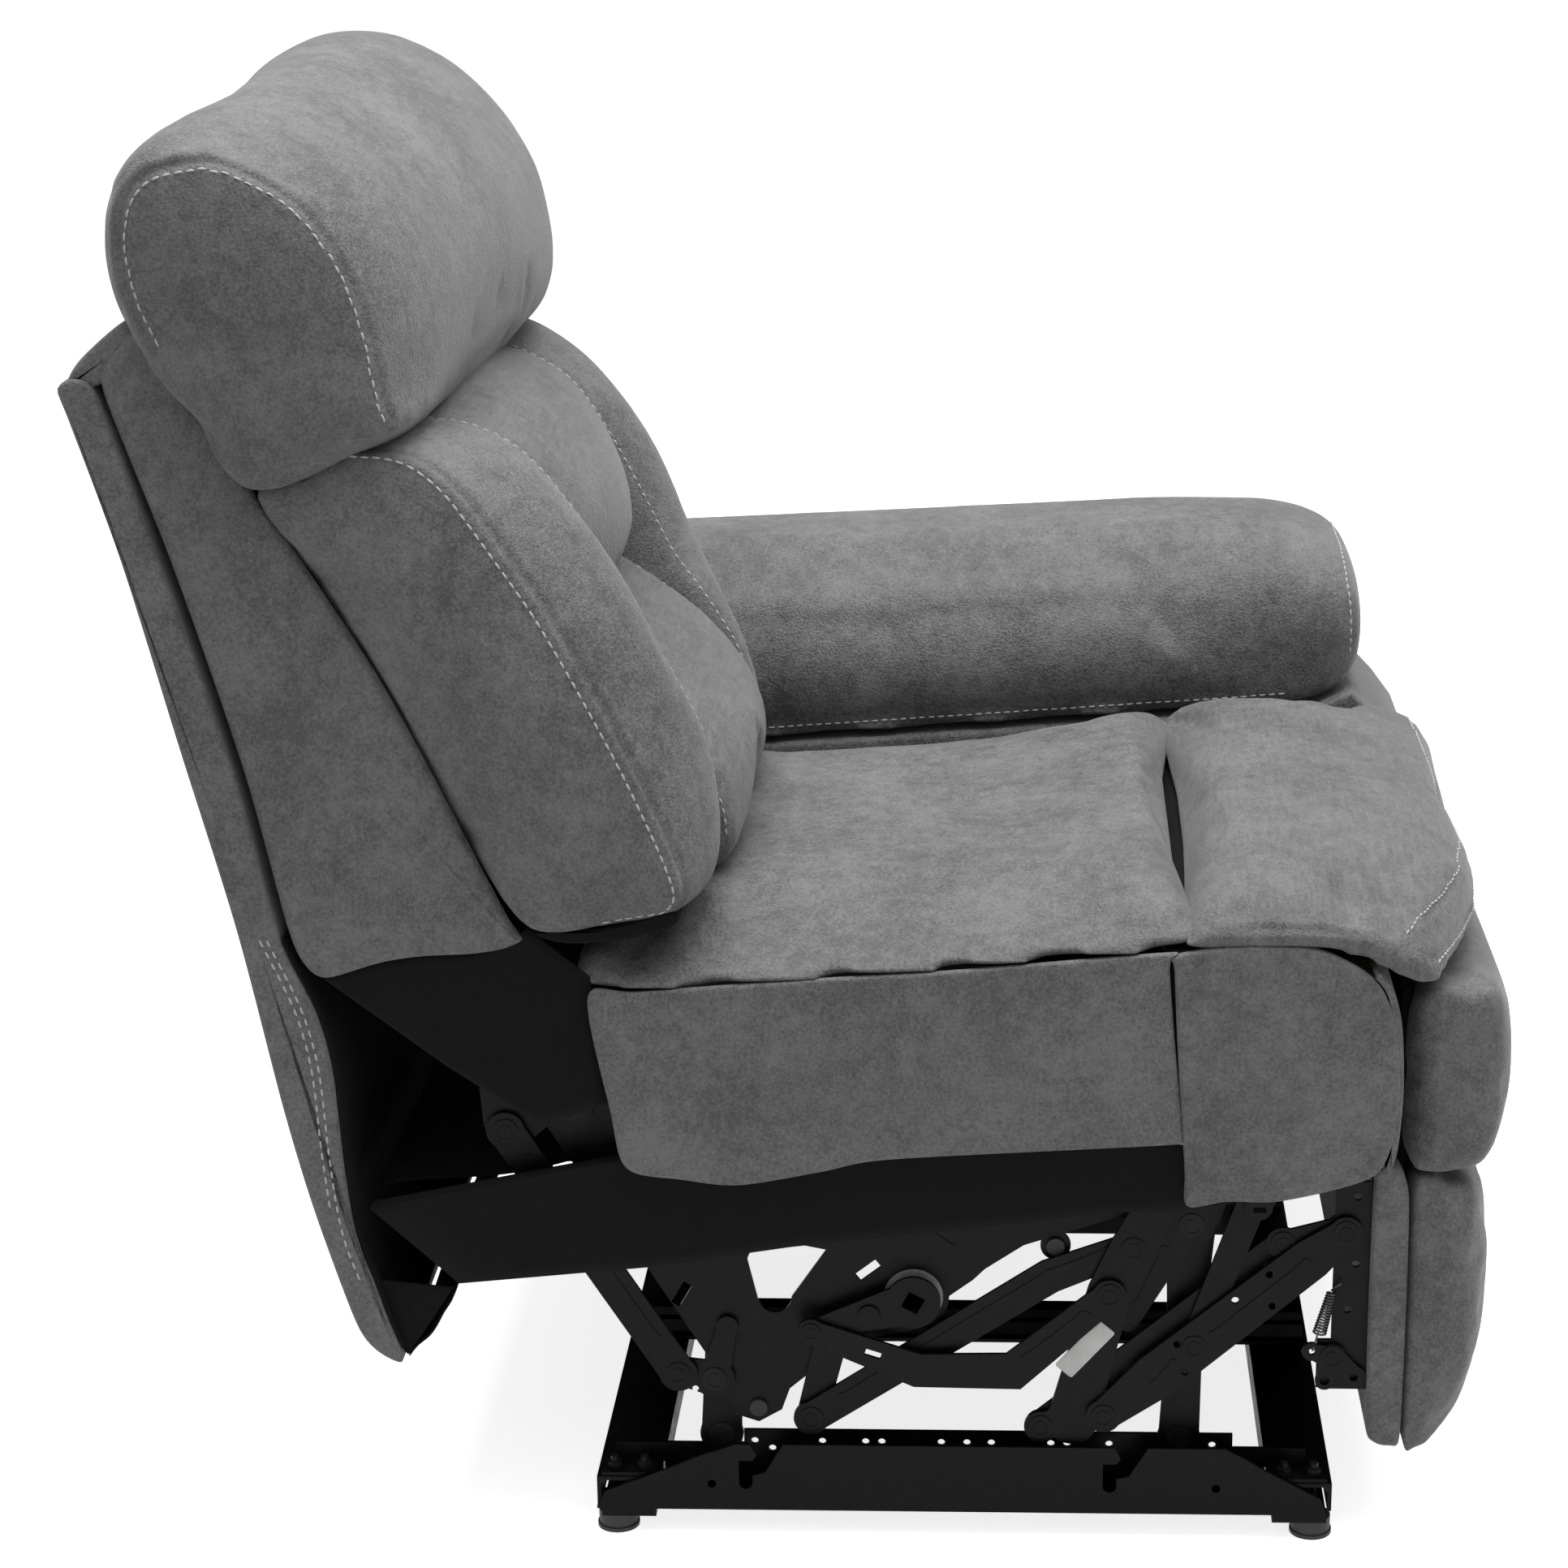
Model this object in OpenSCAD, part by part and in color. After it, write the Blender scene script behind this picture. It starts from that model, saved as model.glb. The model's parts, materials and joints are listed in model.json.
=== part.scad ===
// One-arm reclining armchair: a steel floor base with swing links, a seat box that glides
// forward on them, a reclining back and a folding footrest linkage worked by a side lever.
// Axes: +X towards the arm, -Y to the front, +Z up. Lengths in millimetres.
// Outlines are drawn in the side plane as [y, z] pairs, seat parts above the swing-pivot line.

/* [Base] */
// Width over the two floor rails
base_w = 530; // [470:10:580]
// Length of the floor rails
base_l = 540; // [510:10:580]
// Height of a floor rail's wall
rail_h = 53; // [50:1:56]
// Thickness of a floor rail's wall
rail_t = 2.5; // [2:0.1:3]
// Width of a cross member
cross_w = 47; // [40:1:56]
// Height of a cross member above the rail flange
cross_h = 22; // [16:1:24]
// Distance between a rail's two fixing holes
rail_hole_gap = 370; // [340:5:390]
// Diameter of a rail's fixing holes
rail_hole_d = 6.6; // [5:0.2:9]
// Height of a foot
foot_h = 14; // [8:1:24]
// Diameter of a foot
foot_d = 29; // [22:1:36]

/* [Linkage] */
// Thickness of a link
plate_t = 3; // [2.4:0.1:3.2]
// Gap between neighbouring links
plate_gap = 1; // [0.8:0.1:1.2]
// Diameter of a rivet's shank
rivet_d = 9; // [7:0.5:10]
// Clearance round a rivet in a turning link
run = 0.08; // [0.05:0.01:0.12]
// Length of a swing link between its pivots
swing_l = 172; // [166:1:184]
// Width of a narrow link
link_w = 26; // [22:1:28]
// Width of the square drive tube
tube_w = 17; // [14:0.5:19]
// Wall of the drive tube
tube_wall = 2; // [1.5:0.1:3]

/* [Seat] */
// Thickness of a side board of the seat box
board_t = 12; // [9:1:12]
// Thickness of a stretched cover
cover_t = 3; // [2:0.5:4]
// Width of a cross rail's timber
timber_t = 22; // [18:1:26]
// Height of the seat cushion's crown above its seam
seat_crown = 18; // [10:1:24]
// Width of a seat strap
strap_w = 50; // [40:2:60]

/* [Back] */
// Thickness of the back's boards
shell_t = 12; // [9:1:14]
// Width of a side bolster
bolster_w = 108; // [92:2:120]
// How far a bolster's inner edge stands in front of its outer edge
bolster_swell = 34; // [16:2:38]
// Width of a back post
post_w = 46; // [40:1:50]
// Overhang of the headrest past each side of the back
head_over = 26; // [10:2:36]
// How far the middle cushions stand in front of the bolsters
lumbar = 26; // [10:2:34]

/* [Arm] */
// Width of the armrest
arm_w = 250; // [200:5:290]
// Thickness of the arm's boards
arm_t = 12; // [9:1:16]
// Clearance of the arm above the floor
arm_clear = 62; // [50:2:80]
// Length of the release lever
lever_l = 210; // [160:5:240]

/* [Footrest] */
// Height of the footrest board
rest_h = 225; // [190:5:235]
// Thickness of the footrest board
rest_t = 22; // [16:1:24]
// Radius of the latch spring's widest turn, to its wire's middle
spring_r = 4.5; // [4:0.1:5]

/* [Hidden] */

$fn = 48;
clear = 0.3;

// Steel colours
black = [0.05, 0.05, 0.055];
steel = [0.13, 0.13, 0.14];
grey = [0.33, 0.33, 0.34];

// Floor base
foot_plate_t = 6;
rail_z = foot_h + foot_plate_t;
rail_top = rail_z + rail_h;
flange_w = 28;
cross_z = rail_z + rail_t;
cross_top = cross_z + cross_h;
cross_y = base_l / 2 - cross_w / 2;
bolt_x = 14;
// Length of a bolted tab and of a foot plate
tab_l = 40;

// Link layers, counted inwards from the floor rail's wall
link_x0 = rail_t + 1.5;
pitch = plate_t + plate_gap;
function lx(n) = link_x0 + (n - 1) * pitch;
head_t = 0.75;

// Swing links and the height of the seat's pivot line
pivot_z = 70;
lean = 2;
seat_z = pivot_z + swing_l * cos(lean);
function floor_pivot(p) = [p[0] + swing_l * sin(lean), pivot_z];

// Pivots on the seat plate
rear_swing = [173, 0];
front_swing = [-164, 0];
carrier_top = [-143, 30];
front_top = [-227.8, 83.6];
lock_top = [95, -84];
bell_top = [183, -124];
back_hinge = [285, 88];
tube_c = [37, -58];
// Pivots on the carrier link
carrier_main = [-102, -145];
carrier_low = [-56, -156];
carrier_drive = [-122, -14];
carrier_seq = [-105, -49];
// Pivots on the main link
main_front = [-167, -89];
rest_top = [-274, 2];
// Bolts into the side boards, and rubber stops
bolt_points = [[225, 70], [60, 70], [-95, 70], [-196, 82]];
knob_points = [[-66, -17], [151, -148]];
// Other pivots
rest_low = [-229.2, -8.3];
crank_end = [111, -80];
lock_end = [112, -153];
bell_end = [209, -118];
back_drive = [329, 72];
// Clearance round the pins of two pivots that share their play
loose_rest = 0.4;
loose_back = 1.5;

// Widths of the upholstered body
over = 14;
body_x0 = -over;
body_x1 = base_w + over;
cushion_l = body_x1 - body_x0;
board_x0 = link_x0 - 2 - board_t;
arm_x0 = body_x1 + 4;
arm_x1 = arm_x0 + arm_w;
arm_board_x0 = arm_x0 + cover_t;
arm_board_x1 = arm_x1 - cover_t;
lever_x = arm_x1 + 3;
lever_t = 16;

// Centre of the overall outline
row_x = (body_x0 - head_over + lever_x + lever_t) / 2;
back_y = 605;
front_y = -382;
row_y = (back_y + front_y) / 2;

// Side-plane outline of the seat box
box_side = [[425, 21], [363, -37], [227, -23], [123, -6], [-110, 23], [-150, 24],
    [-260, 42], [-292, 66], [-300, 119], [-294, 185], [-250, 214], [-146, 214],
    [256, 178], [243, 60]];
// Top edge of the gray side cover, from the back to the front
cover_top = [[264, 184], [-144, 220], [-226, 226], [-252, 224], [-283, 207], [-300, 184]];
// Rest of its side-plane outline
cover_low = [[-306, 157], [-306, 119], [-300, 67], [-260, 44], [-197, 34], [-156, 28], [-149, 77],
    [50, 63], [160, 42], [243, 55]];
// Side-plane outline of the back's side panel
back_side = [[605, 609], [598, 624], [555, 660.5], [540, 642], [479, 542], [398, 405],
    [303, 228], [312, 220], [459, 186], [495, 164]];
// Side-plane outline of the back's rear board
back_rear = [[605, 609], [495, 164], [406, -107], [394, -100], [483, 168], [592, 609]];

module in_row() translate([-row_x, -row_y, 0]) children();
module in_seat() in_row() translate([0, 0, seat_z]) children();

// Extrudes a side-plane outline from x over a width
module side(x, w) translate([x, 0, 0]) rotate([90, 0, 90]) linear_extrude(w) children();
// Extrudes a side-plane outline as a link in layer n
module link(n) side(lx(n), plate_t) children();
// Draws the children at the near side and mirrored at the far side
module pair() {
    children();
    far() children();
}
module far() translate([base_w, 0, 0]) mirror([1, 0, 0]) children();

function left(a, b) = [a[1] - b[1], b[0] - a[0]] / norm(b - a);
// Mitred normal of the line of points p at point i
function miter(p, i) = let(
    a = i > 0 ? left(p[i - 1], p[i]) : left(p[0], p[1]),
    b = i < len(p) - 1 ? left(p[i], p[i + 1]) : a,
    m = (a + b) / norm(a + b)) m / (m * b);
// Link outline along the points p, w[i] wide at point i, with a wider eye at each end
module strap(p, w) {
    n = len(p) - 1;
    polygon(concat([for (i = [0:n]) p[i] + miter(p, i) * w[i] / 2],
        [for (i = [n:-1:0]) p[i] - miter(p, i) * w[i] / 2]));
    translate(p[0]) circle(d = w[0] + eye);
    translate(p[n]) circle(d = w[n] + eye);
}
eye = 2;
// Hole for a rivet, tight or with a clearance
module hole(p, c = 0) translate(p) circle(d = rivet_d + 2 * c);
// Raised rib along a link in layer n, on its outer face
module rib(n, p, q, w = 8) side(lx(n) - 0.7, 0.7) strap([p, q], [w, w]);

// Rivet through layers n0 to n1, with a stepped outer head and a spacer between the links
module rivet(p, n0, n1, d = rivet_d) {
    l = (n1 - n0) * pitch + plate_t;
    r = d / 2;
    spacer = n1 > n0 ? [[r, plate_t + 0.1], [r + 2.5, plate_t + 0.1],
        [r + 2.5, l - plate_t - 0.1], [r, l - plate_t - 0.1]] : [];
    translate([lx(n0), p[0], p[1]]) rotate([0, 90, 0]) rotate_extrude()
        polygon(concat([[0, -head_t - 0.1], [r, -head_t - 0.1], [r, -head_t / 2],
            [r * 1.4, -head_t / 2], [r * 1.4, -head_t - 0.1], [r * 2, -head_t - 0.1],
            [r * 2, -0.1], [r, -0.1]], spacer, [[r, l], [0, l]]));
}

// Flat closing head of a rivet on the inner face of layer n
module inner_head(p, n) translate([lx(n) + plate_t, p[0], p[1]]) rotate([0, 90, 0])
    cylinder(h = head_t, d = rivet_d * 1.5);

// Hook notch in the top edge of a floor rail's wall, opening to the front
module hook_notch(y) translate([y, rail_top]) mirror([1, 0]) {
    polygon([[-5, -13], [5, -13], [8, -9], [3.5, 0.1], [28, 0.1], [14, -23], [5, -25],
        [5, -31], [-5, -31]]);
    translate([0, -31]) circle(d = 10);
}

module floor_rail() {
    e = base_l / 2;
    color(steel) {
        side(0, rail_t) difference() {
            polygon([[e, rail_z], [e - 6, rail_z + 14], [e - 102, rail_top],
                [-e + 80, rail_top], [-e + 8, rail_z + 13], [-e + 4, rail_z]]);
            hook_notch(160);
            hook_notch(-107);
            for (s = [-1, 1]) translate([s * rail_hole_gap / 2, rail_z + 21])
                circle(d = rail_hole_d);
        }
        translate([0, -e + 4, rail_z]) cube([flange_w, base_l - 4, rail_t]);
    }
}

module near_floor_rail() in_row() floor_rail();
module far_floor_rail() in_row() far() floor_rail();

// Inner plate that carries the swing pivots, with feet on the cross members
module pivot_plate() {
    top = rail_top - 2;
    color(steel) {
        difference() {
            side(lx(7), plate_t) difference() {
                union() {
                    translate([-198, cross_z]) square([361, top - cross_z]);
                    translate([-252, cross_z]) square([511, top - 11 - cross_z]);
                }
                for (y = [155, 105, 73, 61, 17, -2, -20, -64, -76, -107, -183])
                    translate([y, top - 9]) circle(d = 5.5);
                translate([142, top - 15]) circle(d = 5.5);
                for (p = [rear_swing, front_swing]) hole(floor_pivot(p));
            }
            for (s = [-1, 1]) translate([0, s * cross_y - cross_w / 2 - 1, cross_z - 1])
                cube([lx(8), cross_w + 2, cross_h + 1]);
        }
        for (s = [-1, 1]) translate([lx(1), s * cross_y - tab_l / 2, cross_top]) difference() {
            cube([lx(7) + 1 - lx(1), tab_l, plate_t]);
            for (b = [-1, 1]) translate([bolt_x - lx(1), tab_l / 2 + b * 11, -1])
                cylinder(h = plate_t + 2, d = 6);
        }
    }
}

module pivot_plates() in_row() pair() pivot_plate();

// Channel across the base, standing on both rail flanges
module cross_member(y) {
    w = base_w - 2 * rail_t - 2 * clear;
    color(black) translate([rail_t + clear, y - cross_w / 2, cross_z]) difference() {
        cube([w, cross_w, cross_h]);
        translate([-1, plate_t, -1]) cube([w + 2, cross_w - 2 * plate_t, cross_h - plate_t + 1]);
        for (x = [bolt_x, base_w - bolt_x], b = [-1, 1])
            translate([x - rail_t - clear, cross_w / 2 + b * 11, 0])
                cylinder(h = cross_h + 1, d = 6);
    }
}

module rear_cross_member() in_row() cross_member(cross_y);
module front_cross_member() in_row() cross_member(-cross_y);

// Stepped pressed rail lying on the two cross members along the centre line
module centre_rail() in_row() color(black) {
    half = cross_y + cross_w / 2 - 4;
    translate([base_w / 2, half, cross_top]) rotate([90, 0, 0]) linear_extrude(2 * half)
        polygon([[-31, 0], [-20, 0], [-17, 9], [-9, 9], [-7, 15], [7, 15], [9, 9], [17, 9],
            [20, 0], [31, 0], [31, 3], [22, 3], [19, 12], [11, 12], [9, 18], [-9, 18],
            [-11, 12], [-19, 12], [-22, 3], [-31, 3]]);
}

module foot_plates() in_row() color(black)
    for (x = [0, base_w - 45], s = [-1, 1])
        translate([x, s * cross_y - tab_l / 2, foot_h]) cube([45, tab_l, foot_plate_t]);

module feet() in_row() color([0.03, 0.03, 0.03])
    for (x = [foot_d / 2 + 1, base_w - foot_d / 2 - 1], s = [-1, 1])
        translate([x, s * (base_l / 2 - 14), 0]) {
            cylinder(h = foot_h, d = foot_d);
            cylinder(h = 3, d = foot_d + 2);
        }

// Bolts that clamp pivot plates and cross members down on the rail flanges
module base_bolts() in_row() color([0.16, 0.16, 0.17])
    for (x = [bolt_x, base_w - bolt_x], s = [-1, 1], b = [-1, 1])
        translate([x, s * cross_y + b * 11, cross_z]) {
            cylinder(h = cross_h + plate_t + 9, d = 6);
            translate([0, 0, cross_h + plate_t]) cylinder(h = 4.5, d = 11, $fn = 6);
        }

module base_pivot_pins() in_row() color([0.16, 0.16, 0.17])
    pair() for (p = [rear_swing, front_swing]) rivet(floor_pivot(p), 6, 7);

// Swing link standing on the base, waisted between its pivots
module swing_link(p) {
    f = floor_pivot(p) - [0, seat_z];
    mid = (p + f) / 2;
    color(steel) link(6) difference() {
        strap([f, mid, p], [link_w + 4, link_w, link_w + 10]);
        for (q = [f, p]) hole(q, run);
    }
}

module front_swing_links() in_seat() pair() swing_link(front_swing);
module rear_swing_links() in_seat() pair() swing_link(rear_swing);

// Large pressed plate that carries every link of one side
module seat_plate() color(steel) {
    link(5) difference() {
        union() {
            polygon([[230, -38], [190, -104], [176, -134], [bell_top[0] - 14, bell_top[1] - 30],
                [151, -160], [134, -150], [128, -133], [106, -114], [70, -92], [22, -82],
                [14, -60], [-6, -45], [-15, -36], [-43, -17], [-111, 6], [-150, 0],
                [-184, 0], [-200, 60], [-250, 70], [-250, 104], [-140, 96], [150, 96],
                [260, 108], [300, 108], [305, 80]]);
            translate(tube_c) circle(d = 52);
            translate(bell_top) circle(d = 30);
            translate(back_hinge) circle(d = 40);
            translate(front_swing) circle(d = 34);
            translate(rear_swing) circle(d = 34);
            translate(front_top) circle(d = 34);
            strap([[-160, 0], [-120, -77]], [24, 14]);
            translate(knob_points[0]) circle(d = 22);
        }
        // Window under the side board
        translate([138, -60]) circle(d = 24);
        polygon([[150, -64], [126, -60], [100, -22], [150, -12], [158, -30]]);
        // Slots for the assembly hooks
        for (s = [[70, -38, -38], [206, -58, -60]]) translate([s[0], s[1]]) rotate(s[2])
            square([19, 7], center = true);
        translate(tube_c) circle(d = 38.2);
        for (p = [rear_swing, front_swing, carrier_top, front_top, lock_top, bell_top,
            back_hinge]) hole(p);
        for (p = bolt_points) translate(p) circle(d = 8);
        for (p = knob_points) translate(p) circle(d = 6);
    }
    rib(5, [190, 10], [215, -30], 6);
    rib(5, [60, 20], [10, -20], 6);
    rib(5, [-145, -20], [-127, -62], 6);
}

module near_seat_plate() in_seat() seat_plate();
module far_seat_plate() in_seat() far() seat_plate();

module seat_plate_rivets() in_seat() color([0.17, 0.17, 0.18]) pair() {
    rivet(carrier_top, 2, 5);
    rivet(front_top, 2, 5);
    rivet(lock_top, 4, 5);
    rivet(bell_top, 4, 5);
    rivet(back_hinge, 4, 5);
    for (p = [rear_swing, front_swing]) rivet(p, 5, 6);
}

// Nylon bush that carries the drive tube in each seat plate
module tube_bushings() in_seat() color([0.78, 0.78, 0.76]) pair()
    translate([lx(5) - 0.6, tube_c[0], tube_c[1]]) rotate([0, 90, 0]) difference() {
        union() {
            translate([0, 0, 0.6]) cylinder(h = plate_t + 0.6, d = 38.2);
            cylinder(h = 0.6, d = 43);
        }
        translate([0, 0, -1]) cylinder(h = plate_t + 4, d = tube_w * sqrt(2) + 0.8);
    }

// Bolts and spacers from the side boards to the seat plates and to the arm
module mount_bolts() in_seat() color([0.2, 0.2, 0.21]) {
    for (p = arm_bolts) translate([base_w - board_x0, p[0], p[1]]) rotate([0, 90, 0])
        cylinder(h = arm_board_x0 - base_w + board_x0, d = 24);
    pair() for (p = bolt_points) translate([board_x0 + board_t, p[0], p[1]]) rotate([0, 90, 0]) {
        cylinder(h = lx(5) - board_x0 - board_t, d = 16);
        cylinder(h = lx(6) - board_x0 - board_t, d = 8);
    }
}

// Rubber stops that the closed links lie against
module stop_knobs() in_seat() color([0.08, 0.08, 0.08]) pair()
    for (p = knob_points) translate([lx(4) + 1, p[0], p[1]]) rotate([0, 90, 0]) {
        cylinder(h = lx(5) - lx(4) - 1, d = 13);
        cylinder(h = lx(5) + plate_t - lx(4) - 1, d = 6);
    }

module side_board() color([0.62, 0.52, 0.38]) side(board_x0, board_t) polygon(box_side);
module near_side_board() in_seat() side_board();
module far_side_board() in_seat() far() side_board();

// Front and rear timbers between the side boards
module seat_cross_rails() in_seat() color([0.66, 0.56, 0.42]) {
    x = board_x0 + board_t;
    w = base_w - 2 * x;
    translate([x, -290, 84]) cube([w, timber_t, 112]);
    translate([x, 232 - timber_t, 112]) cube([w, timber_t, 68]);
}

// Elastic straps stretched over the two timbers under the cushion
module seat_straps() in_seat() color([0.12, 0.12, 0.13]) {
    rear = 232;
    drop = 180;
    rise = 196;
    n = 5;
    for (i = [0:n - 1]) side(base_w / 2 + (i - (n - 1) / 2) * 95 - strap_w / 2, strap_w)
        polygon([[rear, drop], [rear - timber_t, drop], [-290 + timber_t, rise], [-290, rise],
            [-290, rise + 2], [-290 + timber_t, rise + 2], [rear - timber_t, drop + 2],
            [rear, drop + 2]]);
}

// Slotted tabs under the front corners of the seat box
module front_tabs() in_seat() color(steel) pair() side(board_x0 + board_t, 1) difference() {
    union() {
        translate([-232, 44]) square([26, 60]);
        translate([-211, 22]) circle(d = 20);
        polygon([[-232, 46], [-206, 46], [-202, 24], [-220, 20]]);
    }
    translate([-216, 18]) square([9, 4]);
    translate([-215, 32]) square([9, 4]);
}

module near_lining() in_seat() color([0.02, 0.02, 0.02])
    side(board_x0 - 1.5, 1.5) polygon(box_side);

// Stretched cover over the near side and the front of the seat box
module seat_cover() in_seat() color(grey) {
    x = board_x0 - 1.5 - cover_t;
    side(x, cover_t) polygon(concat(cover_top, cover_low));
    side(x, base_w - 2 * x) polygon([[-300, 70], [-306, 119], [-306, 157], [-300, 184],
        [-297, 184], [-303, 157], [-303, 119], [-297, 70]]);
}

module seat_cushion() in_seat() color(grey) {
    rear = cover_top[0] + [0, clear];
    front = cover_top[1] + [-6, 0.8];
    side(body_x0 - 2, cushion_l + 2) polygon([rear, front, front + [-2, seat_crown],
        front + [20, seat_crown + 7], [60, 219 + seat_crown], [240, 200 + seat_crown],
        rear + [4, 16]]);
    side(20, base_w - 40) polygon([[250, 182.8], [-146, 194.6], [-146, 222], [250, 187]]);
}

module chaise_pad() in_seat() color(grey) difference() {
    profile = [[-153, 224], [-153, 242], [-175, 259], [-240, 266], [-300, 264], [-345, 254],
        [-371, 232], [-375, 212], [-362, 197], [-318, 197], [-300, 199]];
    hull() {
        side(body_x0 - 2, cushion_l + 2) intersection() {
            polygon(profile);
            translate([-372, 199]) square([219, 50]);
        }
        side(body_x0 + 16, cushion_l - 34) polygon(profile);
    }
    side(body_x0 - 10, cushion_l + 20) polygon(concat([for (p = cover_top) p + [0, clear]],
        [[-302, 150], [264, 150]]));
}

// Line under the arm's pad, from the back to the front
arm_top = [[425, 190], [-290, 242]];
arm_low = -seat_z + arm_clear;
// Side-plane outline of the arm under its pad
arm_side = [[420, 120], arm_top[0] - [5, 0], arm_top[1], [-326, 262], [-353, 221],
    [-379, 198], [-390, 90], [-386, arm_low + 12], [-378, arm_low], [360, arm_low],
    [372, arm_low + 12]];
// Points where the arm is bolted to the seat box
arm_bolts = [[200, 120], [200, 50], [-220, 130], [-220, 90]];

// Boards inside the arm: inner and outer sides, and rails between them
module arm_frame() in_seat() color([0.64, 0.54, 0.4]) {
    z0 = arm_low + 4;
    inner = arm_board_x1 - arm_board_x0 - 2 * arm_t;
    for (x = [arm_board_x0, arm_board_x1 - arm_t]) side(x, arm_t) difference() {
        polygon([[408, 130], [408, 188], [-290, 238], [-318, 250], [-344, 214], [-368, 190],
            [-378, 90], [-374, z0], [352, z0]]);
        translate(tube_c) circle(d = 40);
    }
    for (p = [[-356, z0], [330, z0], [-290, 208], [380, 160]])
        translate([arm_board_x0 + arm_t, p[0] - 12, p[1]]) cube([inner, 24, 22]);
}

// Upholstered skin of the arm round its boards
module arm_cover() in_seat() color(grey) {
    side(arm_x0, cover_t) difference() {
        polygon(arm_side);
        translate(tube_c) circle(d = 40);
        for (p = arm_bolts) translate(p) circle(d = 24);
    }
    side(arm_x1 - cover_t, cover_t) difference() {
        polygon(arm_side);
        translate(tube_c) circle(d = 40);
    }
    side(arm_x0, arm_w) polygon([[-290, 242], [-326, 262], [-353, 221], [-379, 198],
        [-390, 90], [-386, arm_low + 12], [-378, arm_low], [-375, arm_low + 3],
        [-379.5, 90], [-369.5, 191], [-345.5, 215.5], [-319, 252], [-291, 239.5]]);
    side(arm_x0, arm_w) polygon([[360, arm_low], [372, arm_low + 12], [420, 120], [420, 190],
        [417, 190], [417, 120.5], [369.2, arm_low + 13], [358.8, arm_low + 3]]);
    side(arm_x0, arm_w) polygon([[420, 120], [420, 190], [409, 191], [409, 124]]);
}

// Cross-section of the arm's pillow, w wide and h high, with rounded shoulders
module pad_section(y, z, w, h) {
    r = min(w * 0.27, h / 2);
    translate([0, y, z]) rotate([90, 0, 0]) linear_extrude(1) hull() {
        translate([-w / 2, 0]) square([w, 20]);
        for (s = [-1, 1]) translate([s * (w / 2 - r - 2), h - r]) circle(r, $fn = 32);
    }
}

// Rounded pillow on top of the arm
module arm_pad() in_seat() color(grey)
    translate([(arm_x0 + arm_x1) / 2, 0, clear]) hull() {
        pad_section(arm_top[0][0], arm_top[0][1], arm_w, 169);
        pad_section(-262, 240, arm_w, 152);
        pad_section(-333, 268, arm_w - 50, 70);
    }

// Round plate where the lever's shaft leaves the arm
module lever_plate() in_seat() color(steel)
    translate([arm_x1, tube_c[0], tube_c[1]]) rotate([0, 90, 0]) difference() {
        cylinder(h = 2, d = 62);
        translate([0, 0, -1]) cylinder(h = 4, d = tube_w * sqrt(2) + 2);
    }

// Upright plates that hang the back on its hinges
module back_brackets() in_seat() color(steel) pair() link(4) difference() {
    union() {
        polygon([[270, 100], [320, 56], [345, 74], [356, 230], [452, 398], [418, 420],
            [312, 236], [272, 150]]);
        translate(back_hinge) circle(d = 36);
        translate(back_drive) circle(d = 30);
    }
    hole(back_hinge, run);
    hole(back_drive, loose_back);
    for (p = post_bolts) translate(p) circle(d = 7);
}
post_bolts = [[356, 290], [402, 370]];
post_a = [350, 246];
post_b = [548, 598];
post_x = lx(5);
post_l = norm(post_b - post_a);
post_tilt = atan2(post_b[1] - post_a[1], post_b[0] - post_a[0]);
// Draws the children in the plane of the posts, x along a post, y towards the sitter
module on_post() translate(post_a) rotate(post_tilt) children();

module back_posts() in_seat() color([0.64, 0.54, 0.4]) pair() {
    side(post_x, timber_t) difference() {
        strap([post_a, post_b], [post_w, post_w]);
        for (p = post_bolts) translate(p) circle(d = 7);
    }
    // Block that carries the outside back
    side(body_x0 + shell_t, post_x - body_x0 - shell_t) on_post()
        translate([post_l * 0.7, -post_w / 2]) square([post_l * 0.3, post_w]);
}

// Rails between the posts, and the bolts that hold the brackets
module back_rails() in_seat() {
    x = post_x + timber_t;
    color([0.66, 0.56, 0.42]) for (t = [0.04, 0.45, 0.93])
        side(x, base_w - 2 * x) on_post() translate([t * post_l - 26, -timber_t / 2])
            square([52, timber_t]);
    color([0.2, 0.2, 0.21]) pair() for (p = post_bolts)
        translate([lx(4), p[0], p[1]]) rotate([0, 90, 0]) {
            cylinder(h = post_x + timber_t - lx(4) - 1, d = 7);
            translate([0, 0, -2]) cylinder(h = 2, d = 14);
        }
}

// Upholstered outside back: rear board, two side panels and the top
module back_shell() in_seat() color(grey) {
    w = cushion_l;
    for (x = [body_x0, body_x1 - shell_t]) side(x, shell_t) polygon(back_side);
    side(body_x0, w) polygon(back_rear);
    side(body_x0, w) polygon([[598, 624], [555, 660.5], [540, 642], [548, 633], [592, 609],
        [605, 609]]);
}

// Black cloth that closes the back between its side panels and the seat
module back_lining() in_seat() color([0.02, 0.02, 0.02]) pair()
    side(body_x0 + 2, 2) polygon([[312, 219.7], [303, 227], [290, 200], [278, 130],
        [300, 112], [400, 110], [462, 130], [476, 164], [459, 185.7]]);

// Elastic straps between the back's upper and lower rails
module back_straps() in_seat() color([0.12, 0.12, 0.13])
    for (i = [-1.5:1.5]) side(base_w / 2 + i * 110 - strap_w / 2, strap_w)
        on_post() translate([-10, timber_t / 2]) square([post_l, 2]);

// Side-plane outline of a bolster, between its boundary with the shell and its front
bolster_side = [[304, 235], [235, 239], [190, 242], [188, 262], [203, 293], [255, 408],
    [311, 502], [342, 547], [368, 566], [404, 572], [475, 546], [398, 410]];
// Direction in which the back's padding stands out
forward = [-0.87, 0.49];
// The same outline with its front moved forward by a distance
function swollen(k) = [for (i = [0:len(bolster_side) - 1])
    bolster_side[i] + (i > 1 && i < 9 ? forward * k : [0, 0])];
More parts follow.
